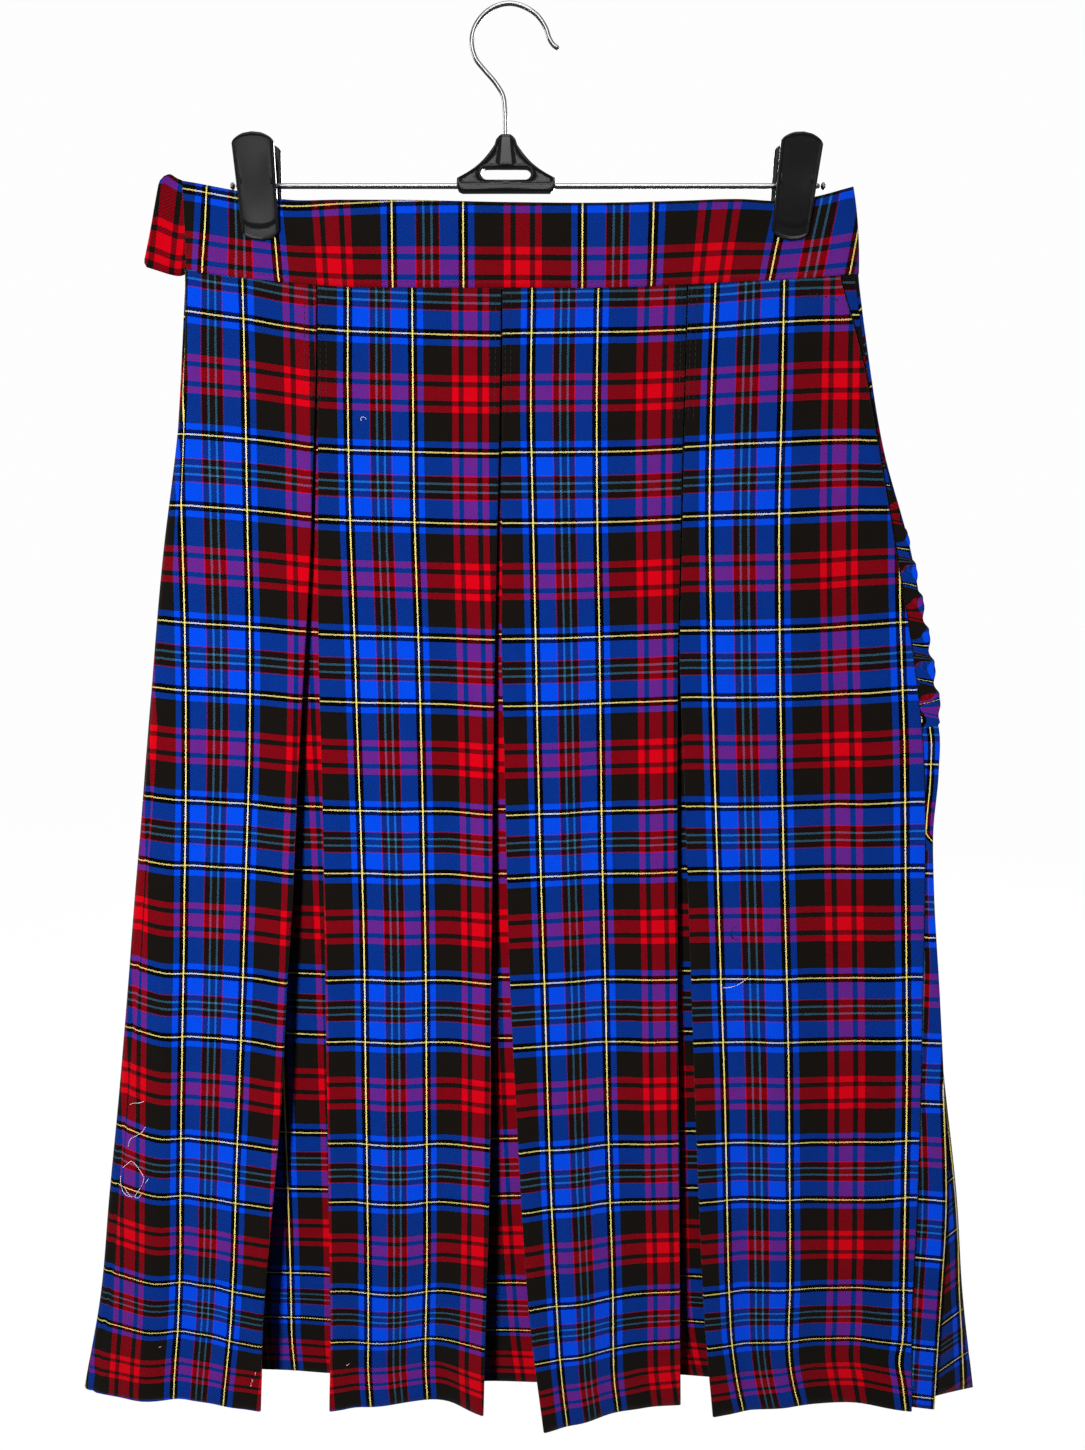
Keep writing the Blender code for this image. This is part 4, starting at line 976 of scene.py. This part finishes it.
hookX, hookZ = splineThrough(hanger["hook"], 120).T
steelRod("hookWire", "hook_wire", np.column_stack([hookX, 0 * hookX, hookZ]),
         hanger["wireRadius"], 20)
for name, node, start, end, size, rings, sides in (
        ("hangerBar", "hanger_bar", *hanger["barEnds"], "barRadius", 24, 20),
        ("barCapLeft", "bar_cap_left", hanger["barEnds"][0] - hanger["capGap"],
         hanger["barEnds"][0] - hanger["capGap"] - hanger["capLength"], "capRadius", 8, 18),
        ("barCapRight", "bar_cap_right", hanger["barEnds"][1] + hanger["capGap"],
         hanger["barEnds"][1] + hanger["capGap"] + hanger["capLength"], "capRadius", 8, 18)):
    steelRod(name, node, np.linspace((start, 0, hanger["barZ"]), (end, 0, hanger["barZ"]), rings),
             hanger[size], sides)

block = {
    "topZ": -67.6, "bottomZ": -97.8, "halfTop": 3.6, "halfWaist": 6.4, "halfBottom": 27.8,
    "centreX": -2.6, "thick": 9.0, "web": 3.1, "slot": (28.2, 6.8), "slotZ": -88.3, "foot": 7.0,
    "sag": 2.6,               # how far the slopes are hollowed
    "across": [0.0, 0.03, 0.08, 0.16, 0.26, 0.38, 0.5, 0.62, 0.74, 0.84, 0.91, 0.96, 0.99, 1.0],
}


def blockOutline(count):
    # A triangle with hollowed slopes on a short upright foot, evenly spaced points, as offsets from
    # the block's middle line.
    t = np.linspace(0, 1, 12)
    sag = block["sag"] * np.sin(math.pi * t)
    top, bottom, waist, wide = (block[key] for key in ("topZ", "bottomZ", "halfWaist", "halfBottom"))
    slope = np.column_stack([waist + (wide - waist) * t - 0.6 * sag,
                             top - 5.5 + (bottom + block["foot"] - top + 5.5) * t - 0.55 * sag])
    right = np.concatenate([
        [(0.0, top), (block["halfTop"] - 1.0, top), (block["halfTop"], top - 0.6),
         (waist - 1.0, top - 2.4)], slope,
        [(wide + 0.1, bottom + 5.0), (wide, bottom + 2.6), (wide - 0.8, bottom + 0.8),
         (wide - 2.6, bottom), (0.0, bottom)]])
    whole = np.concatenate([right, right[1:-1][::-1] * (-1, 1), right[:1]])
    along = np.concatenate([[0], np.cumsum(np.linalg.norm(np.diff(whole, axis=0), axis=1))])
    at = np.linspace(0, along[-1], count, endpoint=False)
    return np.column_stack([np.interp(at, along, whole[:, k]) for k in range(2)])


def blockGrid():
    # Round and round the slot: each column is a loop that goes from the slot's wall out over the
    # front, round the rim and back over the rear. The face is high at the rim, at the slot's collar
    # and on the rib over the stem, and hollow between.
    way = blockOutline(220) - (0, block["slotZ"])
    reach = np.linalg.norm(way, axis=1)
    cos, sin = way.T / reach
    halfH = block["slot"][1] / 2
    run = block["slot"][0] / 2 - halfH
    flat = halfH / np.maximum(np.abs(sin), 1e-6)
    onEnd = run * np.abs(cos) + np.sqrt(np.maximum(halfH ** 2 - (run * sin) ** 2, 0))
    slotReach = np.where(np.abs(flat * cos) <= run, flat, onEnd)
    t = np.array(block["across"])
    gap = (reach - slotReach)[:, None]
    radial = slotReach[:, None] + gap * t
    px, pz = radial * cos[:, None], block["slotZ"] + radial * sin[:, None]
    fromRim, fromSlot = gap * (1 - t), gap * t
    rim = easeIn(1 - (fromRim - 1.2) / 1.3)
    collar = easeIn(1 - (fromSlot - 1.3) / 1.2)
    rib = easeIn(1 - (np.abs(px) - (2.2 + 0.10 * (block["topZ"] - pz))) / 1.6)
    foot = easeIn((block["slotZ"] - 4.4 - pz) / 1.2)
    high = np.maximum.reduce([rim * 0.8, collar * 0.85, rib * (pz > block["slotZ"]), foot])
    face = block["web"] + (block["thick"] / 2 - block["web"]) * np.clip(high, 0, 1)
    y = face * (0.72 + 0.28 * roundOff(fromRim, 1.2)) * (0.80 + 0.20 * roundOff(fromSlot, 0.8))
    front = np.stack([px + block["centreX"], -y, pz], -1)
    return np.concatenate([front, front[:, ::-1] * (1, -1, 1)], 1)


def plasticPiece(name, points, *node, **shape):
    finishPiece(gridMesh(name, points, materials["plastic"], loopColumns=True, **shape),
                "black_plastic", *node)


plasticPiece("hangerBlock", blockGrid(), "hanger_block", loopRows=True)

jaw = {
    "height": 57.0, "topWidth": 23.6, "bottomWidth": 21.0, "thick": 3.2, "topZ": 28.0,
    "topLift": 12.4, "bottomLift": 6.0, "corner": 2.2, "topBow": 4.6, "bottomBow": 4.2,
    "squareness": 0.34, "edgeRound": 1.4,
    "recess": 0.42,           # how far the face lies behind its raised edge
    "thumb": (0.45, 38.0, 13.0, 8.5),    # hollow for the thumb: depth, height, half height and width
    "pad": (0.35, 7.2, 0.020),           # step above the pad: depth, height, bow
}
lug = {"inset": 1.95, "rearInset": 2.1, "thick": 1.5, "reach": 3.1, "lift": 3.2, "half": (6.2, 6.8)}


def powered(value, power):
    return np.sign(value) * np.abs(value) ** power


def jawGrid(facing, place, lean):
    # A moulded plate: round it goes a flattened loop, and along it the loop's width follows the
    # corners; its ends are arcs. The outer face has a shallow thumb hollow above and a pad step
    # below, and a thin raised edge all round.
    h = ((1 - np.cos(np.linspace(0, math.pi, 60))) / 2 * jaw["height"])[:, None]
    fromTop = jaw["height"] - h
    width = jaw["bottomWidth"] + (jaw["topWidth"] - jaw["bottomWidth"]) * h / jaw["height"]
    # small round corners; both ends are bowed further down
    near = np.minimum(h, fromTop)
    half = np.maximum(width / 2 - jaw["corner"] * (1 - roundOff(near, jaw["corner"])), 0.4)
    a = np.linspace(0, 2 * math.pi, 56, endpoint=False)
    cx, cy = powered(np.cos(a), jaw["squareness"]), powered(np.sin(a), jaw["squareness"])
    x = half * cx
    dish = easeIn((np.minimum(half - np.abs(x), near) - 0.9) / 0.8)
    depth, middle, tall, wide = jaw["thumb"]
    hollow = depth * np.exp(-((h - middle) / tall) ** 2) * np.exp(-(x / wide) ** 2)
    depth, stepH, bow = jaw["pad"]
    pad = depth * easeIn(0.5 - (h - stepH - bow * x ** 2) / 1.4)
    y = jaw["thick"] / 2 * roundOff(near + 0.07, jaw["edgeRound"]) * cy
    y = y + np.clip(-cy, 0, 1) * dish * (jaw["recess"] + hollow + pad)
    # tip the plate onto its slope, then lean it over in the front view
    up, across = h / jaw["height"], (2 * np.abs(x) / width) ** 2.2
    z = (h - jaw["height"] + jaw["topZ"] - jaw["topBow"] * across * up ** 4
         + jaw["bottomBow"] * across * (1 - up) ** 4)
    rise = jaw["topLift"] - jaw["bottomLift"]
    slope = math.atan2(rise, jaw["height"])
    y, z = y * math.cos(slope) - z * math.sin(slope), z * math.cos(slope) + y * math.sin(slope)
    y = y - (jaw["bottomLift"] + rise * (1 - jaw["topZ"] / jaw["height"]) - jaw["thick"] / 2)
    x, z = x * math.cos(lean) + z * math.sin(lean), z * math.cos(lean) - x * math.sin(lean)
    return np.stack([x + place, -facing * y, z + hanger["jawZ"]], -1)


def lugGrid(x, facing):
    # A rounded lug round the bar, joining the jaw's plate: discs of a flattened outline.
    a = np.linspace(0, 2 * math.pi, 40, endpoint=False)
    y, z = lug["half"][0] * powered(np.cos(a), 0.6), lug["half"][1] * powered(np.sin(a), 0.7)
    steps, grow = np.array([(0.0, 0.93), (0.12, 1.0), (0.5, 1.0), (0.88, 1.0), (1.0, 0.93)]).T
    grow = grow[:, None]
    px = (x + (steps - 0.5) * lug["thick"])[:, None] + 0 * a
    return np.stack([px, facing * lug["reach"] + grow * y, hanger["barZ"] + lug["lift"] + grow * z],
                    -1)


def springPath(place):
    # A coil on the bar, and its two arms that press the upper ends of the jaws apart.
    turns, half, radius = hanger["springTurns"], hanger["springHalf"], hanger["springRadius"]
    a = np.linspace(0, turns * 2 * math.pi, turns * 18)
    coil = np.column_stack([place - half + 2 * half * a / a[-1], radius * np.cos(a),
                            hanger["barZ"] + radius * np.sin(a)])
    t = np.linspace(0.15, 1, 8)[:, None]
    armOut = coil[-1] + t * (0, 1.0, hanger["armReach"]) + t ** 2 * (0, 2.0, 0)
    armIn = coil[0] + t * (0, -1.0, hanger["armReach"]) + t ** 2 * (0, -6.5, 0)
    return np.concatenate([armIn[::-1], coil, armOut])


for side, (place, lean) in clips.items():
    clip = f"clip{side.capitalize()}"
    for which, facing in (("Front", -1), ("Rear", 1)):
        plasticPiece(clip + which, jawGrid(facing, place, lean), f"clip_{side}_{which.lower()}",
                     closeEnds=True, flip=facing > 0)
        reach = jaw["bottomWidth"] / 2 - lug["inset"] - (lug["rearInset"] if facing > 0 else 0)
        for letter, way in (("A", -1), ("B", 1)):
            plasticPiece(f"{clip}{which}Lug{letter}", lugGrid(place + way * reach, facing),
                         closeEnds=True)
    steelRod(clip + "Spring", f"clip_{side}_spring", springPath(place), hanger["springWire"], 8)
print("hanger made")

# Sewing

sewing = {
    "stitch": 2.5, "gap": 0.9, "thread": 0.20, "lift": 0.07, "hemPitch": 7.0, "hemThread": 0.16,
    "tackThread": 0.34, "loose": 0.17,
    "bandHeight": 3.0, "bandPitch": 3.4,
    # rows beside the folds: panel, from its left (below 0: right) fold, drops
    "front": [(0, -2.2, 3, 66), (0, -5.4, 3, 66), (1, 0.4, 3, 66), (1, 3.8, 3, 66),
              (1, -1.8, 3, 72), (1, -5.0, 3, 72), (2, 0.6, 3, 72), (2, 3.8, 3, 72),
              (2, -1.8, 3, 74), (2, -5.0, 3, 74), (3, 0.6, 3, 74), (3, 3.8, 3, 74)],
    "back": [(k, off, 3, 66) for k in range(3) for off in (-2.0, -5.0)]
            + [(k, off, 3, 66) for k in (1, 2, 3) for off in (0.6, 3.8)],
}


def sampleGrid(points, rowAt, colAt):
    rowAt = np.clip(rowAt, 0, points.shape[0] - 1.001)
    colAt = np.clip(colAt, 0, points.shape[1] - 1.001)
    r, c = rowAt.astype(int), colAt.astype(int)
    fr, fc = (rowAt - r)[:, None], (colAt - c)[:, None]
    return ((points[r, c] * (1 - fc) + points[r, c + 1] * fc) * (1 - fr)
            + (points[r + 1, c] * (1 - fc) + points[r + 1, c + 1] * fc) * fr)


def stitchMesh(name, lines, radius=sewing["thread"]):
    # Short round threads, end to end: each is a ring profile carried from one point to the next,
    # thickest in its middle.
    starts, ends = (np.concatenate([line[k] for line in lines]) for k in (0, 1))
    way = ends - starts
    way = way / np.linalg.norm(way, axis=1, keepdims=True)
    side = np.cross(way, (0.0, 1.0, 0.0))
    side = side / np.maximum(np.linalg.norm(side, axis=1, keepdims=True), 1e-6)
    up = np.cross(side, way)
    along = np.array([0.0, 0.12, 0.5, 0.88, 1.0])
    thick = np.array([0.25, 0.8, 1.0, 0.8, 0.25]) * radius
    a = np.linspace(0, 2 * math.pi, 6, endpoint=False)[None, None, :, None]
    centre = starts[:, None] + (ends - starts)[:, None] * along[None, :, None]
    ring = side[:, None, None] * np.cos(a) + up[:, None, None] * np.sin(a)
    points = centre[:, :, None] + ring * thick[None, :, None, None]
    base = np.arange(len(starts))[:, None, None] * 30
    r = np.arange(4)[None, :, None] * 6
    c = np.arange(6)[None, None]
    n = (c + 1) % 6
    quads = np.stack(np.broadcast_arrays(base + r + c, base + r + n, base + r + 6 + n,
                                         base + r + 6 + c), -1).reshape(-1, 4)
    caps = np.concatenate([base[:, 0] + c[0, :, ::-1], base[:, 0] + 24 + c[0]])
    return finishPiece(addMesh(name, points, quads.tolist() + caps.tolist(),
                               materials["darkThread"]), "plaid_cloth")


def panelColumns(parts, panelIndex):
    # where a panel's columns start, how many they are, and how far across each lies; the panels
    # are the widest runs
    k = [k for k, run in enumerate(parts) if run.shape[1] >= 20][panelIndex]
    return sum(run.shape[1] for run in parts[:k]), parts[k].shape[1], parts[k][..., 0]


def rowOf(drop):
    return np.interp(drop, wallDrops, np.arange(len(wallDrops)))


def seamRow(points, parts, panelIndex, fromEdge, dropFrom, dropTo, facing):
    # Stitches down a panel, fromEdge millimetres in from its left (or, if below 0, right) fold.
    start, count, across = panelColumns(parts, panelIndex)
    at = np.arange(dropFrom, dropTo - sewing["stitch"], sewing["stitch"] + sewing["gap"])
    out = (0, facing * (skirt["wall"] / 2 + sewing["lift"]), 0)
    ends = []
    for rowAt in (rowOf(at), rowOf(at + sewing["stitch"])):
        xs = across[np.round(rowAt).astype(int)]
        want = xs[:, 0] + fromEdge if fromEdge >= 0 else xs[:, -1] + fromEdge
        f = (want - xs[:, 0]) / (xs[:, -1] - xs[:, 0])
        ends.append(sampleGrid(points, rowAt, start + f * (count - 1)) + out)
    return ends


stitchMesh("pleatStitches", [seamRow(frontPoints, frontParts, *row, -1) for row in sewing["front"]])
stitchMesh("pleatStitchesBack", [seamRow(backPoints, backParts, *row, 1) for row in sewing["back"]])


def bandRow(facing, left, right):
    # A row of stitches along a waistband half, just above the seam.
    xs = np.arange(left, right, sewing["bandPitch"])
    part = np.full_like(xs, 1 - sewing["bandHeight"] / band["height"])
    ends = []
    for x in (xs, xs + sewing["stitch"]):
        lift = bandLift(x, part) + band["wall"] / 2 - 0.10
        z = skirt["seamZ"] + sewing["bandHeight"] + riseAt(x, part[0])
        ends.append(np.column_stack([x, facing * lift, z]))
    return ends


stitchMesh("waistbandStitches", [bandRow(-1, band["left"] + 10, band["right"] - 10),
                                 bandRow(1, band["left"] + 16, band["right"] - 10)])


def hemRow(points, parts, panelIndex, facing):
    # Small catching stitches across a panel at the top of its turn-up, wandering a little.
    start, count, across = panelColumns(parts, panelIndex)
    stitches = max(4, int((across[-1, -1] - across[-1, 0]) / sewing["hemPitch"]))
    f = np.linspace(0.06, 0.94, stitches)
    rowAt = rowOf(skirt["drop"] - skirt["turnUp"] - 1.5 + 1.2 * np.sin(f * 23 + panelIndex))
    out = (0, facing * (skirt["wall"] / 2 + 0.02), 0)
    return [sampleGrid(points, rowAt + k * 0.10, start + f * (count - 1) + k * 0.22) + out
            for k in (0, 1)]


stitchMesh("hemStitches", [hemRow(frontPoints, frontParts, k, -1) for k in range(4)]
           + [hemRow(backPoints, backParts, k, 1) for k in range(4)], sewing["hemThread"])


def onPanel(panelIndex, path, off):
    # Points given as across and drop, laid on a front panel and stood off it a little.
    start, count, across = panelColumns(frontParts, panelIndex)
    path = np.array(path, float)
    rowAt = rowOf(path[:, 1])
    xs = across[np.round(rowAt).astype(int)]
    f = (path[:, 0] - xs[:, 0]) / (xs[:, -1] - xs[:, 0])
    return (sampleGrid(frontPoints, rowAt, start + f * (count - 1))
            - (0, skirt["wall"] / 2 + off, 0))


# Loose thread ends: panel, thread, height of the loop, path
looseThreads = [
    (0, "paleThread", 1.2, [(-235.2, 512.5), (-237.1, 515.8), (-241.2, 518.6), (-245.2, 521.6),
        (-247.2, 525.3), (-247.3, 527.7)]),
    (0, "paleThread", 2.0, [(-252.5, 542.6), (-248.5, 539.0), (-245.0, 536.2), (-242.3, 537.8),
        (-239.1, 541.7), (-237.3, 545.4), (-237.5, 549.7), (-240.4, 554.6), (-245.3, 560.8)]),
    (0, "paleThread", 1.2, [(-255.0, 548.4), (-254.4, 552.8), (-252.5, 557.7), (-249.8, 560.8),
        (-246.7, 561.4)]),
    (0, "paleThread", 0.8, [(-251.4, 555.2), (-249.1, 558.6), (-247.0, 561.4)]),
    (0, "paleThread", 0.8, [(-245.8, 560.8), (-242.4, 560.8), (-239.8, 558.6)]),
    (0, "paleThread", 0.8, [(-245.4, 499.3), (-242.7, 497.5), (-238.8, 496.9), (-234.8, 495.6)]),
    (0, "paleThread", 0.6, [(-234.3, 546.9), (-236.8, 550.3)]),
    (3, "paleThread", 1.0, [(130.2, 416.8), (136.9, 415.7), (141.7, 413.3), (145.4, 410.9)]),
    (3, "darkThread", 1.2, [(138.0, 377.3), (134.5, 380.0), (133.6, 382.6), (135.4, 385.3),
        (139.1, 386.6)]),
    (1, "paleThread", 0.6, [(-87.4, 73.7), (-86.8, 71.7), (-85.1, 71.7), (-84.2, 72.9)]),
    (0, "paleThread", 0.25, [(-168.2, 675.4), (-168.3, 677.7)]),
    (0, "paleThread", 0.25, [(-170.3, 680.5), (-170.6, 683.2)]),
    (0, "paleThread", 0.25, [(-171.2, 684.1), (-171.7, 686.3)]),
    (1, "paleThread", 0.2, [(-109.5, 672.2), (-107.5, 671.3)]),
    (0, "paleThread", 0.2, [(-233.1, 664.2), (-231.5, 663.7)]),
]
for k, (panelIndex, thread, rise, path) in enumerate(looseThreads):
    loop = splineThrough(onPanel(panelIndex, path, 0.12), 26)
    loop[:, 1] -= rise * np.sin(np.linspace(0, math.pi, 26))
    finishPiece(tube(f"looseThread{k + 1}", loop, sewing["loose"], materials[thread], 8),
                "plaid_cloth")

# Bar tacks and short dark rows near the waist: panel, path of each tack
tacks = [
    (0, (-120.9, 60.0), (-120.5, 62.0)),
    (0, (-119.2, 60.0), (-118.8, 62.0)),
    (0, (-117.5, 60.0), (-117.1, 62.0)),
    (0, (-115.8, 60.0), (-115.4, 62.0)),
    (1, (-114.1, 63.4), (-113.8, 65.1)),
    (1, (-112.4, 63.4), (-112.1, 65.1)),
    (3, (169.3, 8.7), (170.1, 10.4)),
    (3, (171.2, 8.1), (172.1, 9.9)),
    (3, (173.3, 9.8), (174.2, 11.5)),
    (3, (175.2, 8.1), (176.1, 9.9)),
    (3, (177.3, 10.3), (178.2, 12.1)),
    (3, (179.6, 8.9), (180.4, 10.7)),
    (3, (182.5, 10.6), (183.3, 12.3)),
    (3, (185.1, 11.4), (186.0, 13.2)),
]
stitchMesh("barTacks", [[onPanel(k, [end], 0.10) for end in ends] for k, *ends in tacks],
           sewing["tackThread"])
print("sewing made")

# Floor, light, camera

studio = {
    "floorZ": -1.02, "floorSize": 14.0, "floorGlow": 0.978, "backdropRadius": 11.0,
    "skyTop": 0.34, "skySide": 0.05,                       # light from above and from the sides
    # lamps: power, size, place, whether gloss mirrors them, whether they light matt surfaces
    "lamps": {
        "key": (30.0, 0.12, (-0.30, -1.20, -0.30), False, True),
        "leftFill": (9.0, 0.9, (-1.7, 0.4, 0.1), True, True),
        "rightFill": (7.0, 0.9, (1.7, 0.6, 0.1), True, True),
        "backKey": (34.0, 0.7, (0.5, 1.7, 0.1), True, True),
        "topCard": (14.0, 1.5, (0.0, -1.3, 2.0), True, False),
        "frontCard": (9.0, (1.5, 0.5), (0.0, -2.2, 0.62), True, False),
        "leftCard": (0.55, 0.18, (-0.53, -2.0, -0.16), True, False),
    },
    "cameraPlace": (0.018, -0.7515, -0.2737), "pitchDown": 9.9, "focal": 1250.0, "longSide": 1450.0,
}


def glowPaint(name, base, glow):
    # an even grey, and a white glow of one strength added to it
    return newPaint(name).finish(Base_Color=(base, base, base), Roughness=0.9,
                                 Specular_IOR_Level=0.0, Emission_Color=(1.0, 1.0, 1.0),
                                 Emission_Strength=glow)


def addFloor():
    # a flat square, and round it a pale ball that only the camera sees
    half = studio["floorSize"] / 2
    s = np.linspace(-half, half, 3) / mm
    gx, gy = np.meshgrid(s, s)
    floor = gridMesh("floor", np.stack([gx, gy, 0 * gx + studio["floorZ"] / mm], -1),
                     glowPaint("paleFloor", 0.02, studio["floorGlow"]))
    turn = np.linspace(0, 2 * math.pi, 48, endpoint=False)[None]
    tilt = np.linspace(-0.499, 0.499, 25)[:, None] * math.pi
    ball = np.stack([np.cos(tilt) * np.cos(turn), np.cos(tilt) * np.sin(turn),
                     np.sin(tilt) + 0 * turn], -1)
    backdrop = gridMesh("backdrop", ball * studio["backdropRadius"] / mm,
                        glowPaint("paleBackdrop", 0.0, 0.985), loopColumns=True, flip=True)
    for stagePiece in (floor, backdrop):
        stagePiece.visible_diffuse = stagePiece.visible_glossy = False
    backdrop.visible_shadow = False


def addLamp(name, power, size, place, mirrored, lights, target=(0.0, 0.0, -0.45)):
    lamp = bpy.data.lights.new(name, "AREA")
    lamp.energy = power
    if isinstance(size, tuple):
        lamp.shape = "RECTANGLE"
        lamp.size, lamp.size_y = size
    else:
        lamp.size = size
    holder = bpy.data.objects.new(name, lamp)
    bpy.context.scene.collection.objects.link(holder)
    holder.location = place
    holder.visible_glossy, holder.visible_diffuse, holder.visible_camera = mirrored, lights, False
    way = np.array(target) - np.array(place)
    tilt = math.atan2(math.hypot(way[0], way[1]), -way[2])
    holder.rotation_euler = (tilt, 0.0, math.atan2(-way[0], way[1]))


def addSky():
    # brighter overhead than at the sides, by the height of the direction
    world = bpy.data.worlds.new("studioSky")
    tree = NodeTree(world)
    height = tree.add("SeparateXYZ", "Z", Vector=tree.add("TexCoord", "Object"))
    glow = tree.swayed(tree.math("MAXIMUM", height, 0.0), studio["skyTop"] - studio["skySide"],
                       studio["skySide"])
    background = tree.nodes["Background"]
    tree.feed(background.inputs["Strength"], glow)
    tree.feed(background.inputs["Color"], (1.0, 1.0, 1.0))
    bpy.context.scene.world = world


addFloor()
addSky()
for lampName, values in studio["lamps"].items():
    addLamp(lampName, *values)
bpy.context.scene.view_settings.view_transform = "Standard"

lens = bpy.data.cameras.new("photoCamera")
lens.sensor_width = 36.0
lens.sensor_fit = "AUTO"
lens.lens = 36.0 * studio["focal"] / studio["longSide"]
lens.clip_start, lens.clip_end = 0.01, 50.0
camera = bpy.data.objects.new("photoCamera", lens)
camera.location = studio["cameraPlace"]
camera.rotation_euler = (math.radians(90 - studio["pitchDown"]), 0.0, 0.0)
bpy.context.scene.collection.objects.link(camera)
bpy.context.scene.camera = camera

print("studio ready")
